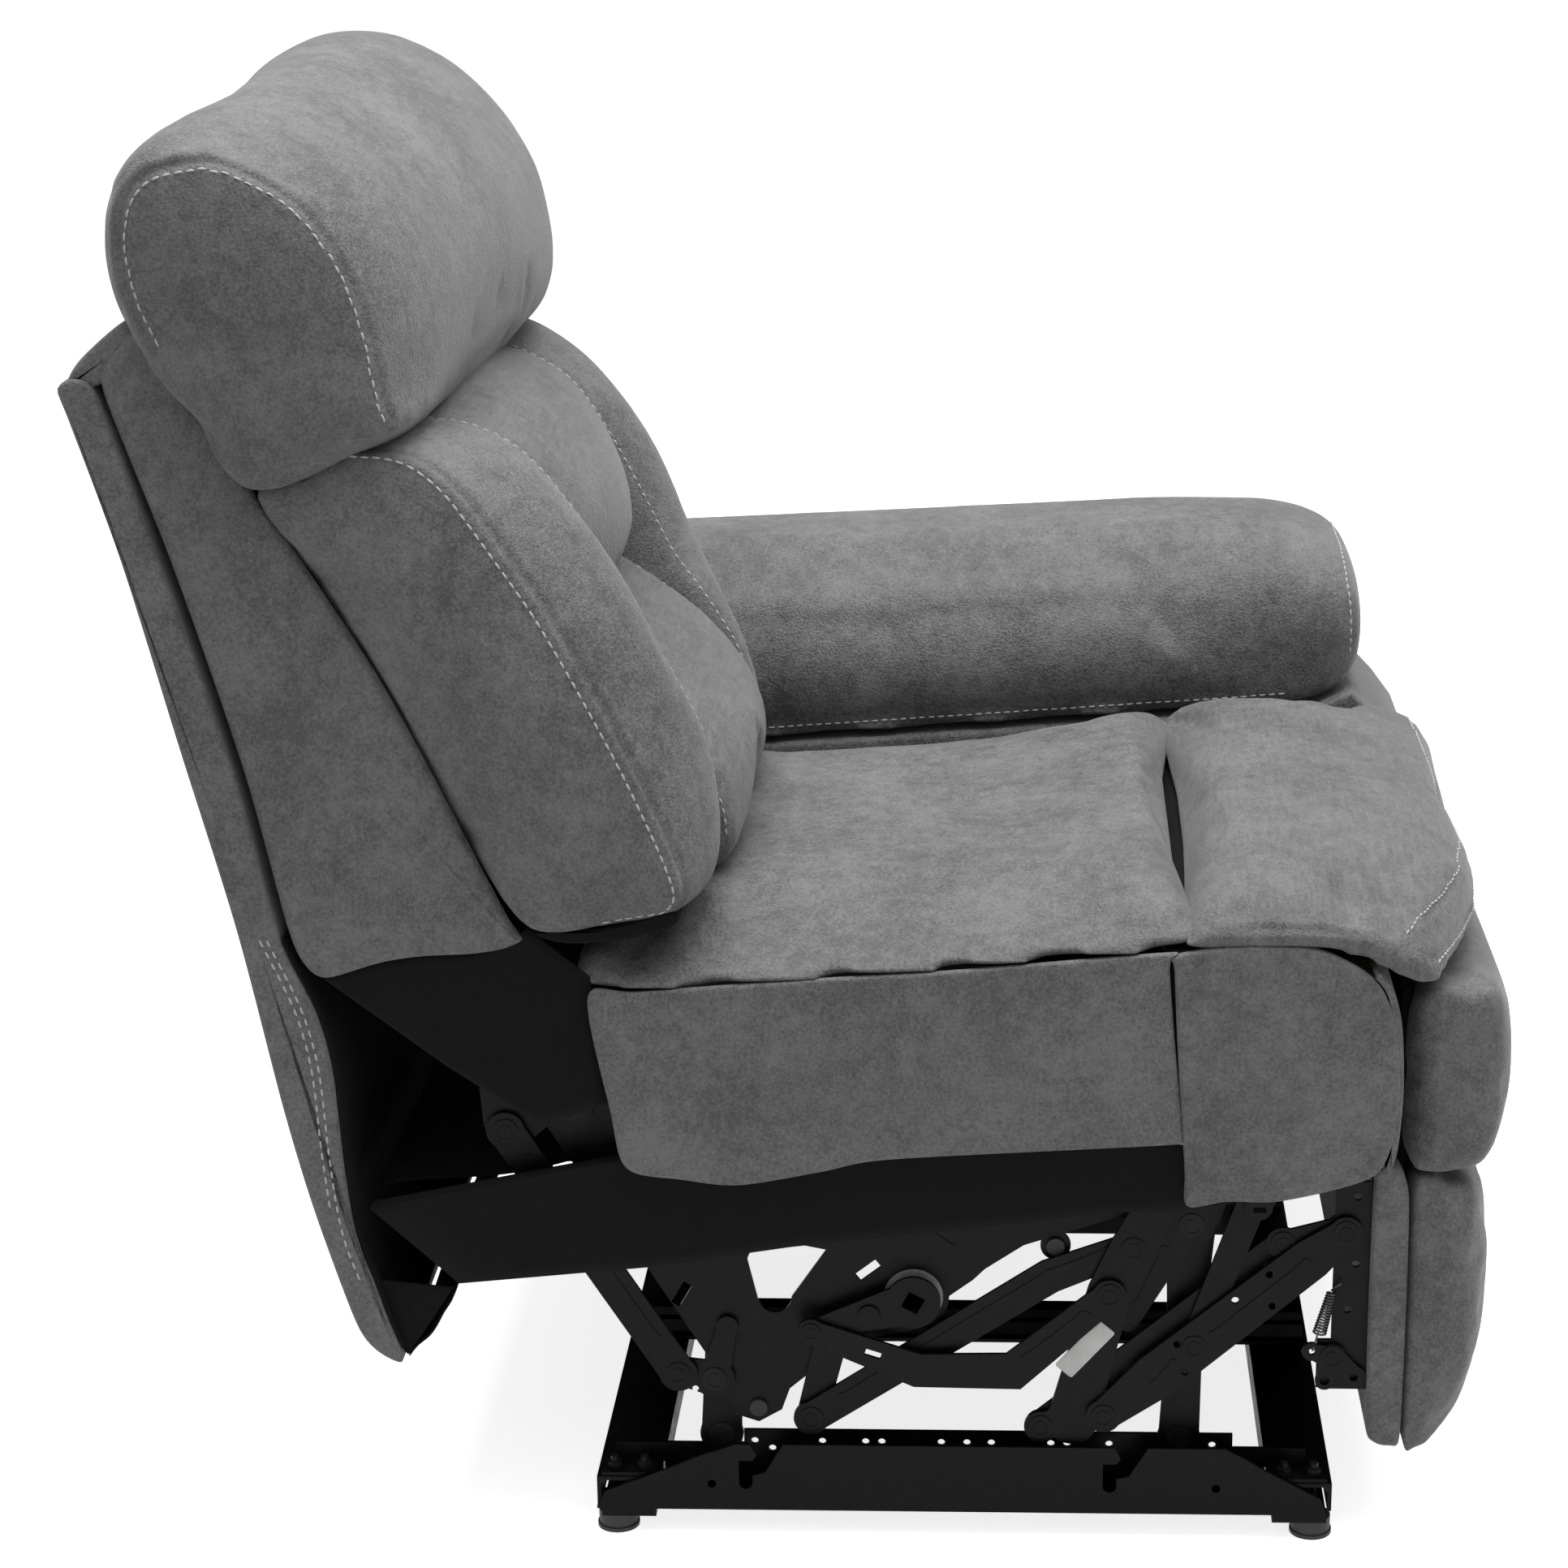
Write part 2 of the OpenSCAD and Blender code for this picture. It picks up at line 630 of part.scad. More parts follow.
// Near bolster, with its flat outer side on the left
module bolster() color(grey) hull() {
    side(body_x0, bolster_w) polygon(swollen(-10));
    side(body_x0, 12) polygon(bolster_side);
    side(body_x0 + bolster_w * 0.55, bolster_w * 0.3) polygon(swollen(bolster_swell));
}

module near_bolster() in_seat() bolster();
module far_bolster() in_seat() far() bolster();

middle_x0 = body_x0 + bolster_w + clear;
middle_w = cushion_l - 2 * bolster_w - 2 * clear;
proud = forward * lumbar;

module upper_back_cushion() in_seat() color(grey) side(middle_x0, middle_w)
    polygon([[476, 546.5], [395, 574], [370, 570], [356, 560] + proud / 2, [316, 520] + proud,
        [278, 466] + proud, [272, 436] + proud / 2, [284, 432], [398, 412]]);

module lower_back_cushion() in_seat() color(grey) side(middle_x0, middle_w)
    polygon([[396, 410], [283, 429.5], [262, 420] + proud / 2, [232, 372] + proud,
        [206, 316] + proud, [192, 262] + proud / 2, [190, 236], [304, 233]]);

// Side-plane outline of the headrest at its ends
head_side = [[476, 548], [406, 577], [372, 596], [379, 606], [390, 648], [404, 690],
    [424, 732], [450, 756], [493, 768], [530, 762], [553, 738], [560, 716], [556, 684],
    [541, 646]];
// Side-plane outline of the headrest at its middle
head_mid = [[470, 552], [408, 572], [358, 588], [350, 612], [352, 660], [372, 722],
    [412, 772], [460, 800], [510, 803], [552, 778], [574, 732], [572, 700], [545, 652]];
module headrest() in_seat() color(grey) hull() {
    side(body_x0 - head_over, cushion_l + 2 * head_over) polygon(head_side);
    side(body_x0 + 20, cushion_l - 40) polygon(head_mid);
}

// Bell crank that pulls the back down
module bell_cranks() in_seat() color(steel) pair() {
    link(4) difference() {
        union() {
            strap([bell_top, bell_end], [link_w + 2, link_w - 4]);
            strap([bell_top, bell_top + [-10, 42]], [22, 14]);
        }
        hole(bell_top, run);
        hole(bell_end);
        translate(bell_top + [14, -8]) circle(d = 5);
    }
    rivet(bell_end, 3, 4);
}

// Channel links from the bell cranks up to the back brackets
module back_links() in_seat() color(steel) pair() {
    link(3) difference() {
        strap([bell_end, back_drive], [link_w, link_w]);
        hole(bell_end, run);
        hole(back_drive);
    }
    rib(3, bell_end * 0.85 + back_drive * 0.15, bell_end * 0.12 + back_drive * 0.88, 9);
    rivet(back_drive, 3, 4);
}

// Long links that hang from the seat plate and carry the footrest linkage
module carrier_links() in_seat() color(steel) pair() {
    link(2) difference() {
        union() {
            strap([carrier_top, carrier_drive, carrier_seq, (carrier_main + carrier_low) / 2],
                [link_w + 2, link_w + 8, link_w + 6, link_w + 10]);
            strap([carrier_low, carrier_main], [link_w - 4, link_w - 2]);
        }
        hole(carrier_top, run);
        for (p = [carrier_drive, carrier_seq, carrier_main, carrier_low]) hole(p);
    }
    rivet(carrier_drive, 2, 3);
    rivet(carrier_seq, 1, 2);
    rivet(carrier_main, 1, 2);
    rivet(carrier_low, 2, 3);
}

// Broad outer links from the carrier links to the footrest brackets
module main_links() in_seat() color(steel) pair() {
    axis = rest_top - carrier_main;
    mid = carrier_main + axis * 0.22;
    up = carrier_main + axis * 0.86;
    link(1) difference() {
        strap([carrier_main, mid, up, rest_top],
            [link_w - 2, link_w + 10, link_w + 6, link_w - 4]);
        hole(carrier_main, run);
        hole(rest_top);
        hole(main_front);
        for (t = [0.34, 0.58, 0.72]) translate(carrier_main + axis * t + [6, 8])
            circle(d = 5.5);
        for (t = [0.3, 0.66]) translate(carrier_main + axis * t + [-7, -8]) circle(d = 5.5);
    }
    rib(1, carrier_main + axis * 0.2 + [-3, -3], main_front + [15, -13], 5);
    rib(1, main_front + [-14, 10], carrier_main + axis * 0.84, 5);
    rivet(main_front, 1, 1);
    rivet(rest_top, 1, 2);
}

// Links from the seat plate's front corner to the main links
module front_links() in_seat() color(steel) pair() {
    link(2) difference() {
        strap([front_top, main_front], [link_w - 4, link_w - 6]);
        hole(front_top, run);
    }
    inner_head(main_front, 2);
}

// Links that turn the footrest brackets
module lower_links() in_seat() color(steel) pair() {
    link(3) difference() {
        strap([carrier_low, rest_low], [link_w - 6, link_w - 8]);
        hole(carrier_low, run);
        hole(rest_low, loose_rest);
    }
}

// Dog-leg links from the cranks to the carrier links
module sequence_links() in_seat() color(steel) pair() {
    low_a = [34, -110];
    low_b = [-36, -110];
    link(1) difference() {
        strap([crank_end, low_a, low_b, carrier_seq],
            [link_w - 8, link_w, link_w + 2, link_w - 4]);
        hole(crank_end);
        hole(carrier_seq, run);
        translate([66, -97]) rotate(18) square([12, 5], center = true);
    }
    rib(1, low_b + [-12, 10], carrier_seq + [18, -18], 10);
    rivet(crank_end, 1, 1, 7);
}

// Long ribbed links from the carrier links back to the lock links
module drive_links() in_seat() color(steel) pair() {
    knee = [-62, -38];
    link(3) difference() {
        strap([carrier_drive, knee, lock_end], [link_w - 4, link_w, link_w - 2]);
        hole(carrier_drive, run);
        hole(lock_end);
    }
    rib(3, carrier_drive + [18, -6], knee, 10);
    rib(3, knee, lock_end + [-24, 15], 10);
    rivet(lock_end, 3, 3);
}

// Short links that swing the drive links' rear ends on the seat plate
module lock_links() in_seat() color(steel) pair() {
    link(4) difference() {
        strap([lock_top, lock_end], [link_w - 2, link_w - 4]);
        hole(lock_top, run);
    }
    inner_head(lock_end, 4);
}

// Cranks on the drive tube
module drive_cranks() in_seat() color(steel) pair() {
    link(2) difference() {
        union() {
            translate(tube_c) circle(d = 40);
            strap([tube_c, crank_end], [34, 14]);
        }
        tube_square(tube_w + 0.1);
        translate(crank_end) circle(d = 7 + 2 * run);
        translate([69, -68]) circle(d = 6);
    }
    translate([lx(2) - 2, 69, -68]) rotate([0, 90, 0]) {
        cylinder(h = 2, d = 16);
        cylinder(h = 2 + plate_t, d = 6);
    }
}

// Square outline of the drive tube
module tube_square(w) translate(tube_c) rotate(28) square(w, center = true);

// Square tube that joins both cranks and runs through the arm to the lever
module drive_tube() in_seat() color(steel) difference() {
    side(lx(2), lever_x + lever_t - 2 - lx(2)) tube_square(tube_w);
    side(lx(2) - 1, lever_x + lever_t - lx(2)) tube_square(tube_w - 2 * tube_wall);
}

// Hand lever on the outer side of the arm
module release_lever() in_seat() color([0.1, 0.1, 0.1]) {
    tip = tube_c + lever_l * [-0.94, 0.34];
    side(lever_x, lever_t) difference() {
        union() {
            translate(tube_c) circle(d = 44);
            strap([tube_c, tip], [34, 24]);
        }
        tube_square(tube_w + 0.1);
    }
}

// Upright angle brackets behind the footrest board
module footrest_brackets() in_seat() color(steel) pair() {
    link(2) difference() {
        union() {
            translate([-292, -123]) square([26, 163]);
            translate(rest_top) circle(d = 28);
            translate(rest_low) circle(d = 24);
            strap([rest_low, rest_top], [18, 22]);
            translate([-272, -122]) square([16, 38]);
        }
        hole(rest_top, run);
        hole(rest_low);
        hole(hook_pivot);
        for (p = [[-282, -24], [-277, -60], [-282, 28]]) translate(p) circle(d = 5.5);
    }
    translate([lx(2), -rest_y, -123]) cube([24, plate_t, 163]);
    rivet(rest_low, 2, 3);
    rivet(hook_pivot, 1, 2);
}
rest_y = 295;
rest_z1 = 46;

// Board of the footrest, with a thin panel above it behind the front pad
module footrest_board() in_seat() color([0.62, 0.52, 0.38]) {
    translate([4, -rest_y - rest_t, rest_z1 - rest_h + 2]) cube([base_w - 8, rest_t, rest_h - 2]);
    translate([30, -rest_y - rest_t, rest_z1 - 1]) cube([base_w - 60, 7, 135]);
}

// Soft wrap of the footrest board
module footrest_pad() in_seat() color(grey) hull() {
    y = -rest_y - rest_t;
    z0 = rest_z1 - rest_h;
    side(2, base_w - 4) polygon([[y, z0 + 2], [y - 8, z0 + 6], [y - 34, z0 + 120],
        [y - 44, z0 + 172], [y - 36, rest_z1 - 6], [y, rest_z1]]);
    side(18, base_w - 36) polygon([[y, z0], [y - 12, z0 + 5], [y - 42, z0 + 118],
        [y - 54, z0 + 172], [y - 44, rest_z1 - 2], [y, rest_z1]]);
}

// Bulging pad above the footrest board
module front_pad() in_seat() color(grey) hull() {
    y = -rest_y - rest_t - clear;
    side(2, base_w - 4) polygon([[y, 48.3], [-354, 50], [-366, 90], [-370, 140],
        [-364, 172], [-352, 186], [y, 188]]);
    side(22, base_w - 44) polygon([[y, 47], [-362, 48.3], [-376, 90], [front_y, 140],
        [-375, 176], [-360, 190], [y, 190]]);
}

// Hook plates that catch the folded footrest, pivoted on the brackets
hook_pivot = [-267, -96];
module latch_hooks() in_seat() color(steel) pair() {
    link(1) difference() {
        union() {
            strap([[-252, -92], hook_pivot, [-283, -112]], [12, 18, 16]);
            strap([hook_pivot, [-262, -115]], [18, 12]);
        }
        hole(hook_pivot, run);
        translate([-252, -92]) circle(d = 5);
        translate([-262, -115]) circle(d = 7);
        translate([-283, -112]) circle(d = 6);
    }
}

// Closed-coil spring that pulls each hook up, wound from touching turns
module latch_springs() in_seat() color([0.1, 0.1, 0.1]) pair()
    translate([lx(2) - spring_tip - 1.3, -257, -77]) rotate([13.7, 0, 0]) rotate_extrude() {
        for (i = [0:17]) translate([spring_r - i * 0.09, i * 2]) circle(d = 2.2, $fn = 24);
        polygon([[spring_r - 0.6, 0], [spring_r, 0], [spring_tip, 34], [spring_tip - 0.6, 34]]);
    }
spring_tip = spring_r - 17 * 0.09;

near_floor_rail();
far_floor_rail();
pivot_plates();
rear_cross_member();
front_cross_member();
centre_rail();
foot_plates();
feet();
base_bolts();
base_pivot_pins();
front_swing_links();
rear_swing_links();
near_seat_plate();
far_seat_plate();
seat_plate_rivets();
tube_bushings();
mount_bolts();
stop_knobs();
near_side_board();
far_side_board();
seat_cross_rails();
seat_straps();
front_tabs();
near_lining();
seat_cover();
seat_cushion();
chaise_pad();
arm_frame();
arm_cover();
arm_pad();
lever_plate();
back_brackets();
back_posts();
back_rails();
back_shell();
back_lining();
back_straps();
near_bolster();
far_bolster();
upper_back_cushion();
lower_back_cushion();
headrest();
bell_cranks();
back_links();
carrier_links();
main_links();
front_links();
lower_links();
sequence_links();
drive_links();
lock_links();
drive_cranks();
drive_tube();
release_lever();
footrest_brackets();
footrest_board();
footrest_pad();
front_pad();
latch_springs();
latch_hooks();
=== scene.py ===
"""Looks of the one-arm reclining armchair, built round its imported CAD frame.

Places are written in chair millimetres: x from the near floor rail's outer face towards
the arm, y from the middle of the floor base towards the back, z up from the floor.
"""
import json
import math

import bmesh
import bpy
import numpy as np
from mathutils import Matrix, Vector
from mathutils.bvhtree import BVHTree
from mathutils.kdtree import KDTree


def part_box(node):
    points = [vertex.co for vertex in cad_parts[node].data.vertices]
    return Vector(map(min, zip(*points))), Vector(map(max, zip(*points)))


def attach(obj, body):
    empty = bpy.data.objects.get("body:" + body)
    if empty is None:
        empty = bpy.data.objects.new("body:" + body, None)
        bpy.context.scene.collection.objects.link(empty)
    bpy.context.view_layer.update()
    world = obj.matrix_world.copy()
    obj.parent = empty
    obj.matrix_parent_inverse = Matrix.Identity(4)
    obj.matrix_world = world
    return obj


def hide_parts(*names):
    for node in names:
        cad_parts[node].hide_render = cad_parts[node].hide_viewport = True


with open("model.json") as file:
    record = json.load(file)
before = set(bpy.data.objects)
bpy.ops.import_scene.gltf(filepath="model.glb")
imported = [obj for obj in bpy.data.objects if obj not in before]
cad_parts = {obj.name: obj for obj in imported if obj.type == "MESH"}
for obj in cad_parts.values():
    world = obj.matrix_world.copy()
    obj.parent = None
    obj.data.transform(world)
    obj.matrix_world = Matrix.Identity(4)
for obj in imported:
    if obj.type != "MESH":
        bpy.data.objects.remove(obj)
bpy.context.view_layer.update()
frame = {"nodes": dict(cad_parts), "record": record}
MM = 0.001

# Where chair millimetres start in the row frame
RAIL_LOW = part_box("near_floor_rail")[0]
BASE_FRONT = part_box("front_cross_member")[0].y
BASE_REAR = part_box("rear_cross_member")[1].y
START = Vector((RAIL_LOW.x, (BASE_FRONT + BASE_REAR) / 2, 0.0))

# Widths of the chair in x
FAR_RAIL = (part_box("far_floor_rail")[1].x - START.x) / MM
BODY_X0 = (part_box("back_shell")[0].x - START.x) / MM
BODY_X1 = (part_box("back_shell")[1].x - START.x) / MM
HEAD_X0 = (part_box("headrest")[0].x - START.x) / MM
HEAD_X1 = (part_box("headrest")[1].x - START.x) / MM
ARM_X0 = (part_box("arm_cover")[0].x - START.x) / MM
ARM_X1 = (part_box("arm_cover")[1].x - START.x) / MM
NEAR_LINING_X = (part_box("near_lining")[0].x - START.x) / MM + 0.7
# Inner seams between the bolsters and the middle cushions
SEAM_X0 = (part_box("near_bolster")[1].x - START.x) / MM + 2
SEAM_X1 = (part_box("far_bolster")[0].x - START.x) / MM - 2


def point(x, y, z):
    """Chair millimetres to the row frame's metres."""
    return START + Vector((x, y, z)) * MM


# ---------------------------------------------------------------- materials

def new_material(name):
    material = bpy.data.materials.new(name)
    material.use_nodes = True
    tree = material.node_tree
    return material, tree, tree.nodes["Principled BSDF"]


def add(tree, kind, **inputs):
    """Adds a node and sets its inputs by name."""
    node = tree.nodes.new(kind)
    for key, value in inputs.items():
        node.inputs[key.replace("_", " ")].default_value = value
    return node


def noise(tree, coords, scale, detail=4.0, rough=0.55):
    node = add(tree, "ShaderNodeTexNoise", Scale=scale, Detail=detail, Roughness=rough)
    tree.links.new(coords, node.inputs["Vector"])
    return node.outputs["Fac"]


def remap(tree, value, low, high, out_low, out_high):
    node = tree.nodes.new("ShaderNodeMapRange")
    tree.links.new(value, node.inputs["Value"])
    for key, number in zip(("From Min", "From Max", "To Min", "To Max"),
                           (low, high, out_low, out_high)):
        node.inputs[key].default_value = number
    return node.outputs["Result"]


def maths(tree, operation, a, b):
    node = tree.nodes.new("ShaderNodeMath")
    node.operation = operation
    for socket, value in zip(node.inputs, (a, b)):
        if isinstance(value, (int, float)):
            socket.default_value = value
        else:
            tree.links.new(value, socket)
    return node.outputs[0]


def bump(tree, height, strength, distance, under=None):
    node = add(tree, "ShaderNodeBump", Strength=strength, Distance=distance)
    tree.links.new(height, node.inputs["Height"])
    if under is not None:
        tree.links.new(under, node.inputs["Normal"])
    return node.outputs["Normal"]


def tint(tree, value, low, high, dark, light):
    """Colour that runs from dark to light as the value runs from low to high."""
    ramp = tree.nodes.new("ShaderNodeValToRGB")
    ramp.color_ramp.elements[0].position = low
    ramp.color_ramp.elements[0].color = (*dark, 1)
    ramp.color_ramp.elements[1].position = high
    ramp.color_ramp.elements[1].color = (*light, 1)
    tree.links.new(value, ramp.inputs["Fac"])
    return ramp.outputs["Color"]


def upholstery(name, base=0.106, streak=None):
    """Grey brushed microfibre: soft cloudy mottling, fine pebble grain and a dull sheen."""
    material, tree, shader = new_material(name)
    coords = tree.nodes.new("ShaderNodeTexCoord").outputs["Object"]
    clouds = noise(tree, coords, 12, 5, 0.6)
    blots = noise(tree, coords, 75, 6, 0.72)
    fleck = noise(tree, coords, 420, 3, 0.75)
    mix = maths(tree, "ADD", maths(tree, "MULTIPLY", clouds, 0.26),
                maths(tree, "MULTIPLY", blots, 0.30))
    mix = maths(tree, "ADD", mix, maths(tree, "MULTIPLY", fleck, 0.44))
    if streak is not None:
        mapping = tree.nodes.new("ShaderNodeMapping")
        mapping.inputs["Scale"].default_value = streak
        tree.links.new(coords, mapping.inputs["Vector"])
        lines = noise(tree, mapping.outputs["Vector"], 34, 6, 0.7)
        mix = maths(tree, "ADD", maths(tree, "MULTIPLY", mix, 0.78),
                    maths(tree, "MULTIPLY", lines, 0.22))
    dark = tuple(base * t for t in (0.44, 0.43, 0.44))
    light = tuple(base * t for t in (1.34, 1.34, 1.35))
    tree.links.new(tint(tree, mix, 0.41, 0.58, dark, light), shader.inputs["Base Color"])
    tree.links.new(remap(tree, mix, 0.38, 0.60, 0.50, 0.74), shader.inputs["Roughness"])
    shader.inputs["Specular IOR Level"].default_value = 0.30
    shader.inputs["Sheen Weight"].default_value = 0.25
    shader.inputs["Sheen Roughness"].default_value = 0.4
    shader.inputs["Sheen Tint"].default_value = (0.75, 0.75, 0.77, 1)
    cells = add(tree, "ShaderNodeTexVoronoi", Scale=560, Randomness=1.0)
    tree.links.new(coords, cells.inputs["Vector"])
    grain = bump(tree, cells.outputs["Distance"], 0.5, 0.0009)
    nap = bump(tree, noise(tree, coords, 120, 6, 0.7), 0.35, 0.0028, grain)
    tree.links.new(nap, shader.inputs["Normal"])
    return material


def powder_coat(name, colour, rough=0.42, specks=True):
    """Black coated steel with orange peel, paler rubbed specks and dust."""
    material, tree, shader = new_material(name)
    coords = tree.nodes.new("ShaderNodeTexCoord").outputs["Object"]
    wear = noise(tree, coords, 70, 6, 0.7)
    light = tuple(c * 2.2 + 0.006 for c in colour) if specks else colour
    tree.links.new(tint(tree, wear, 0.52, 0.86, colour, light), shader.inputs["Base Color"])
    tree.links.new(remap(tree, wear, 0.3, 0.7, rough - 0.08, rough + 0.14),
                   shader.inputs["Roughness"])
    shader.inputs["Specular IOR Level"].default_value = 0.10
    peel = bump(tree, noise(tree, coords, 900, 2, 0.5), 0.10, 0.0004)
    tree.links.new(peel, shader.inputs["Normal"])
    return material


def cloth_black(name, colour=(0.0016, 0.0016, 0.0018)):
    """Thin woven lining that swallows light."""
    material, tree, shader = new_material(name)
    coords = tree.nodes.new("ShaderNodeTexCoord").outputs["Object"]
    weave = add(tree, "ShaderNodeTexWave", Scale=900, Distortion=0.4)
    tree.links.new(coords, weave.inputs["Vector"])
    tree.links.new(tint(tree, noise(tree, coords, 60, 4), 0.3, 0.7, colour,
                        tuple(c * 1.8 for c in colour)), shader.inputs["Base Color"])
    shader.inputs["Roughness"].default_value = 0.9
    shader.inputs["Specular IOR Level"].default_value = 0.15
    tree.links.new(bump(tree, weave.outputs["Fac"], 0.2, 0.0004), shader.inputs["Normal"])
    return material


def plain(name, colour, rough, scale=120, strength=0.15, spread=0.25):
    """Material of one colour with fine noise in its tone and surface."""
    material, tree, shader = new_material(name)
    coords = tree.nodes.new("ShaderNodeTexCoord").outputs["Object"]
    tone = noise(tree, coords, scale, 5, 0.6)
    dark = tuple(c * (1 - spread) for c in colour)
    light = tuple(min(1, c * (1 + spread)) for c in colour)
    tree.links.new(tint(tree, tone, 0.3, 0.7, dark, light), shader.inputs["Base Color"])
    shader.inputs["Roughness"].default_value = rough
    tree.links.new(bump(tree, tone, strength, 0.0005), shader.inputs["Normal"])
    return material


def wood(name, colour):
    """Raw board with stretched rings."""
    material, tree, shader = new_material(name)
    coords = tree.nodes.new("ShaderNodeTexCoord").outputs["Object"]
    mapping = tree.nodes.new("ShaderNodeMapping")
    mapping.inputs["Scale"].default_value = (1.5, 1.5, 14)
    tree.links.new(coords, mapping.inputs["Vector"])
    rings = noise(tree, mapping.outputs["Vector"], 9, 8, 0.7)
    dark = tuple(c * 0.62 for c in colour)
    tree.links.new(tint(tree, rings, 0.35, 0.68, dark, colour), shader.inputs["Base Color"])
    shader.inputs["Roughness"].default_value = 0.7
    tree.links.new(bump(tree, rings, 0.25, 0.0008), shader.inputs["Normal"])
    return material


COVER = upholstery("grey_microfibre")
STRETCHED = upholstery("stretched_microfibre", streak=(1.0, 9.0, 2.2))
THREAD = plain("pale_thread", (0.36, 0.355, 0.34), 0.65, 900, 0.3, 0.12)
LINING = cloth_black("black_lining")
FINISHES = {
    "black_cloth": LINING,
    "webbing": cloth_black("strap_weave", (0.02, 0.02, 0.022)),
    "rail_steel": powder_coat("rail_coat", (0.0010, 0.0010, 0.0011), 0.42),
    "channel_steel": powder_coat("channel_paint", (0.0010, 0.0010, 0.0011), 0.38),
    "link_steel": powder_coat("link_coat", (0.0022, 0.0022, 0.0025), 0.38),
    "rivet_steel": powder_coat("rivet_zinc", (0.008, 0.008, 0.009), 0.36),
    "spring_steel": plain("spring_wire", (0.02, 0.02, 0.021), 0.35),
    "foot_rubber": plain("foot_plastic", (0.004, 0.004, 0.004), 0.55),
    "wrapped_board": LINING,
    "stop_rubber": plain("stop_rubber", (0.01, 0.01, 0.01), 0.75),
    "nylon": plain("nylon", (0.24, 0.24, 0.235), 0.45),
    "plywood": wood("plywood", (0.42, 0.30, 0.18)),
    "timber": wood("timber", (0.50, 0.36, 0.21)),
    "lever_plastic": plain("lever_plastic", (0.012, 0.012, 0.013), 0.4),
    "upholstery": COVER,
}


def dress_frame():
    """Gives every carried-over CAD node the finish of its material slot."""
    slots = {p["node"]: p["material_slot"] for p in frame["record"]["subparts"]}
    for name, node in frame["nodes"].items():
        node.data.materials.clear()
        node.data.materials.append(FINISHES[slots[name]])


# ---------------------------------------------------------------- shapes

def spline(points, count, closed=True):
    """Points spaced evenly along a smooth curve through the given [y, z] pairs."""
    pts = [np.array(p, float) for p in points]
    n = len(pts)
    fine = []
    for i in range(n if closed else n - 1):
        p = [pts[(i + k) % n] if closed else pts[min(max(i + k, 0), n - 1)]
             for k in (-1, 0, 1, 2)]
        for t in np.linspace(0, 1, 24, endpoint=False):
            m1 = (p[2] - p[0]) * 0.42
            m2 = (p[3] - p[1]) * 0.42
            h = (2 * t**3 - 3 * t**2 + 1, t**3 - 2 * t**2 + t, -2 * t**3 + 3 * t**2,
                 t**3 - t**2)
            fine.append(h[0] * p[1] + h[1] * m1 + h[2] * p[2] + h[3] * m2)
    if closed:
        fine.append(fine[0])
    else:
        fine.append(pts[-1])
    fine = np.array(fine)
    steps = np.r_[0, np.cumsum(np.linalg.norm(np.diff(fine, axis=0), axis=1))]
    where = np.linspace(0, steps[-1], count + 1 if closed else count)
    if closed:
        where = where[:-1]
    return np.stack([np.interp(where, steps, fine[:, k]) for k in (0, 1)], 1)


def normals(outline):
    """Outward normals of a closed outline of evenly spaced points."""
    tangent = np.roll(outline, -1, 0) - np.roll(outline, 1, 0)
    normal = np.stack([tangent[:, 1], -tangent[:, 0]], 1)
    normal /= np.linalg.norm(normal, axis=1)[:, None] + 1e-9
    x, y = outline[:, 0], outline[:, 1]
    area = np.sum(x * np.roll(y, -1) - np.roll(x, -1) * y)
    return normal if area > 0 else -normal


def mesh_object(name, verts, faces, body, material):
    mesh = bpy.data.meshes.new(name)
    mesh.from_pydata(verts, [], faces)
    mesh.validate()
    bm = bmesh.new()
    bm.from_mesh(mesh)
    bmesh.ops.recalc_face_normals(bm, faces=bm.faces)
    bm.to_mesh(mesh)
    bm.free()
    mesh.materials.append(material)
    mesh.polygons.foreach_set("use_smooth", [True] * len(mesh.polygons))
    obj = bpy.data.objects.new(name, mesh)
    bpy.context.scene.collection.objects.link(obj)
    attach(obj, body)
    return obj


def loft(name, rings, body, material=None, dome=(0.0, 0.0)):
    """Closed skin over rings, each (x, outline), with domed end caps in millimetres."""
    count = len(rings[0][1])
    verts, faces = [], []
    sections = []
    for side, (x, outline) in ((0, rings[0]), (1, rings[-1])):
        centre = outline.mean(0)
        cap = [(x + (dome[side] * (1 - k * k)) * (1 if side else -1),
                centre + (outline - centre) * k) for k in (0.25, 0.5, 0.72, 0.88, 0.96)]
        sections.append(cap)
    sections = sections[0] + list(rings) + sections[1][::-1]
    for x, outline in sections:
        verts += [point(x, y, z) for y, z in outline]
    for r in range(len(sections) - 1):
        for i in range(count):
            j = (i + 1) % count
            a, b = r * count, (r + 1) * count
            faces.append((a + i, a + j, b + j, b + i))
    for r, flip in ((0, 1), (len(sections) - 1, -1)):
        x, outline = sections[r]
        verts.append(point(x - flip * dome[0 if flip > 0 else 1] * 0.03, *outline.mean(0)))
        middle = len(verts) - 1
        for i in range(count):
            faces.append((r * count + i, r * count + (i + 1) % count, middle))
    return mesh_object(name, verts, faces, body, material or COVER)


def between(a, b, t):
    return a * (1 - t) + b * t


def border_of(corners, pitch=None, steps=1):
    """Points along a closed run of straight edges, one every pitch or in equal steps."""
    corners = [np.array(p, float) for p in corners]
    border = []
    for a, b in zip(corners, corners[1:] + corners[:1]):
        count = max(1, int(np.linalg.norm(b - a) / pitch)) if pitch else steps
        border += [between(a, b, k / count) for k in range(count)]
    return np.array(border)


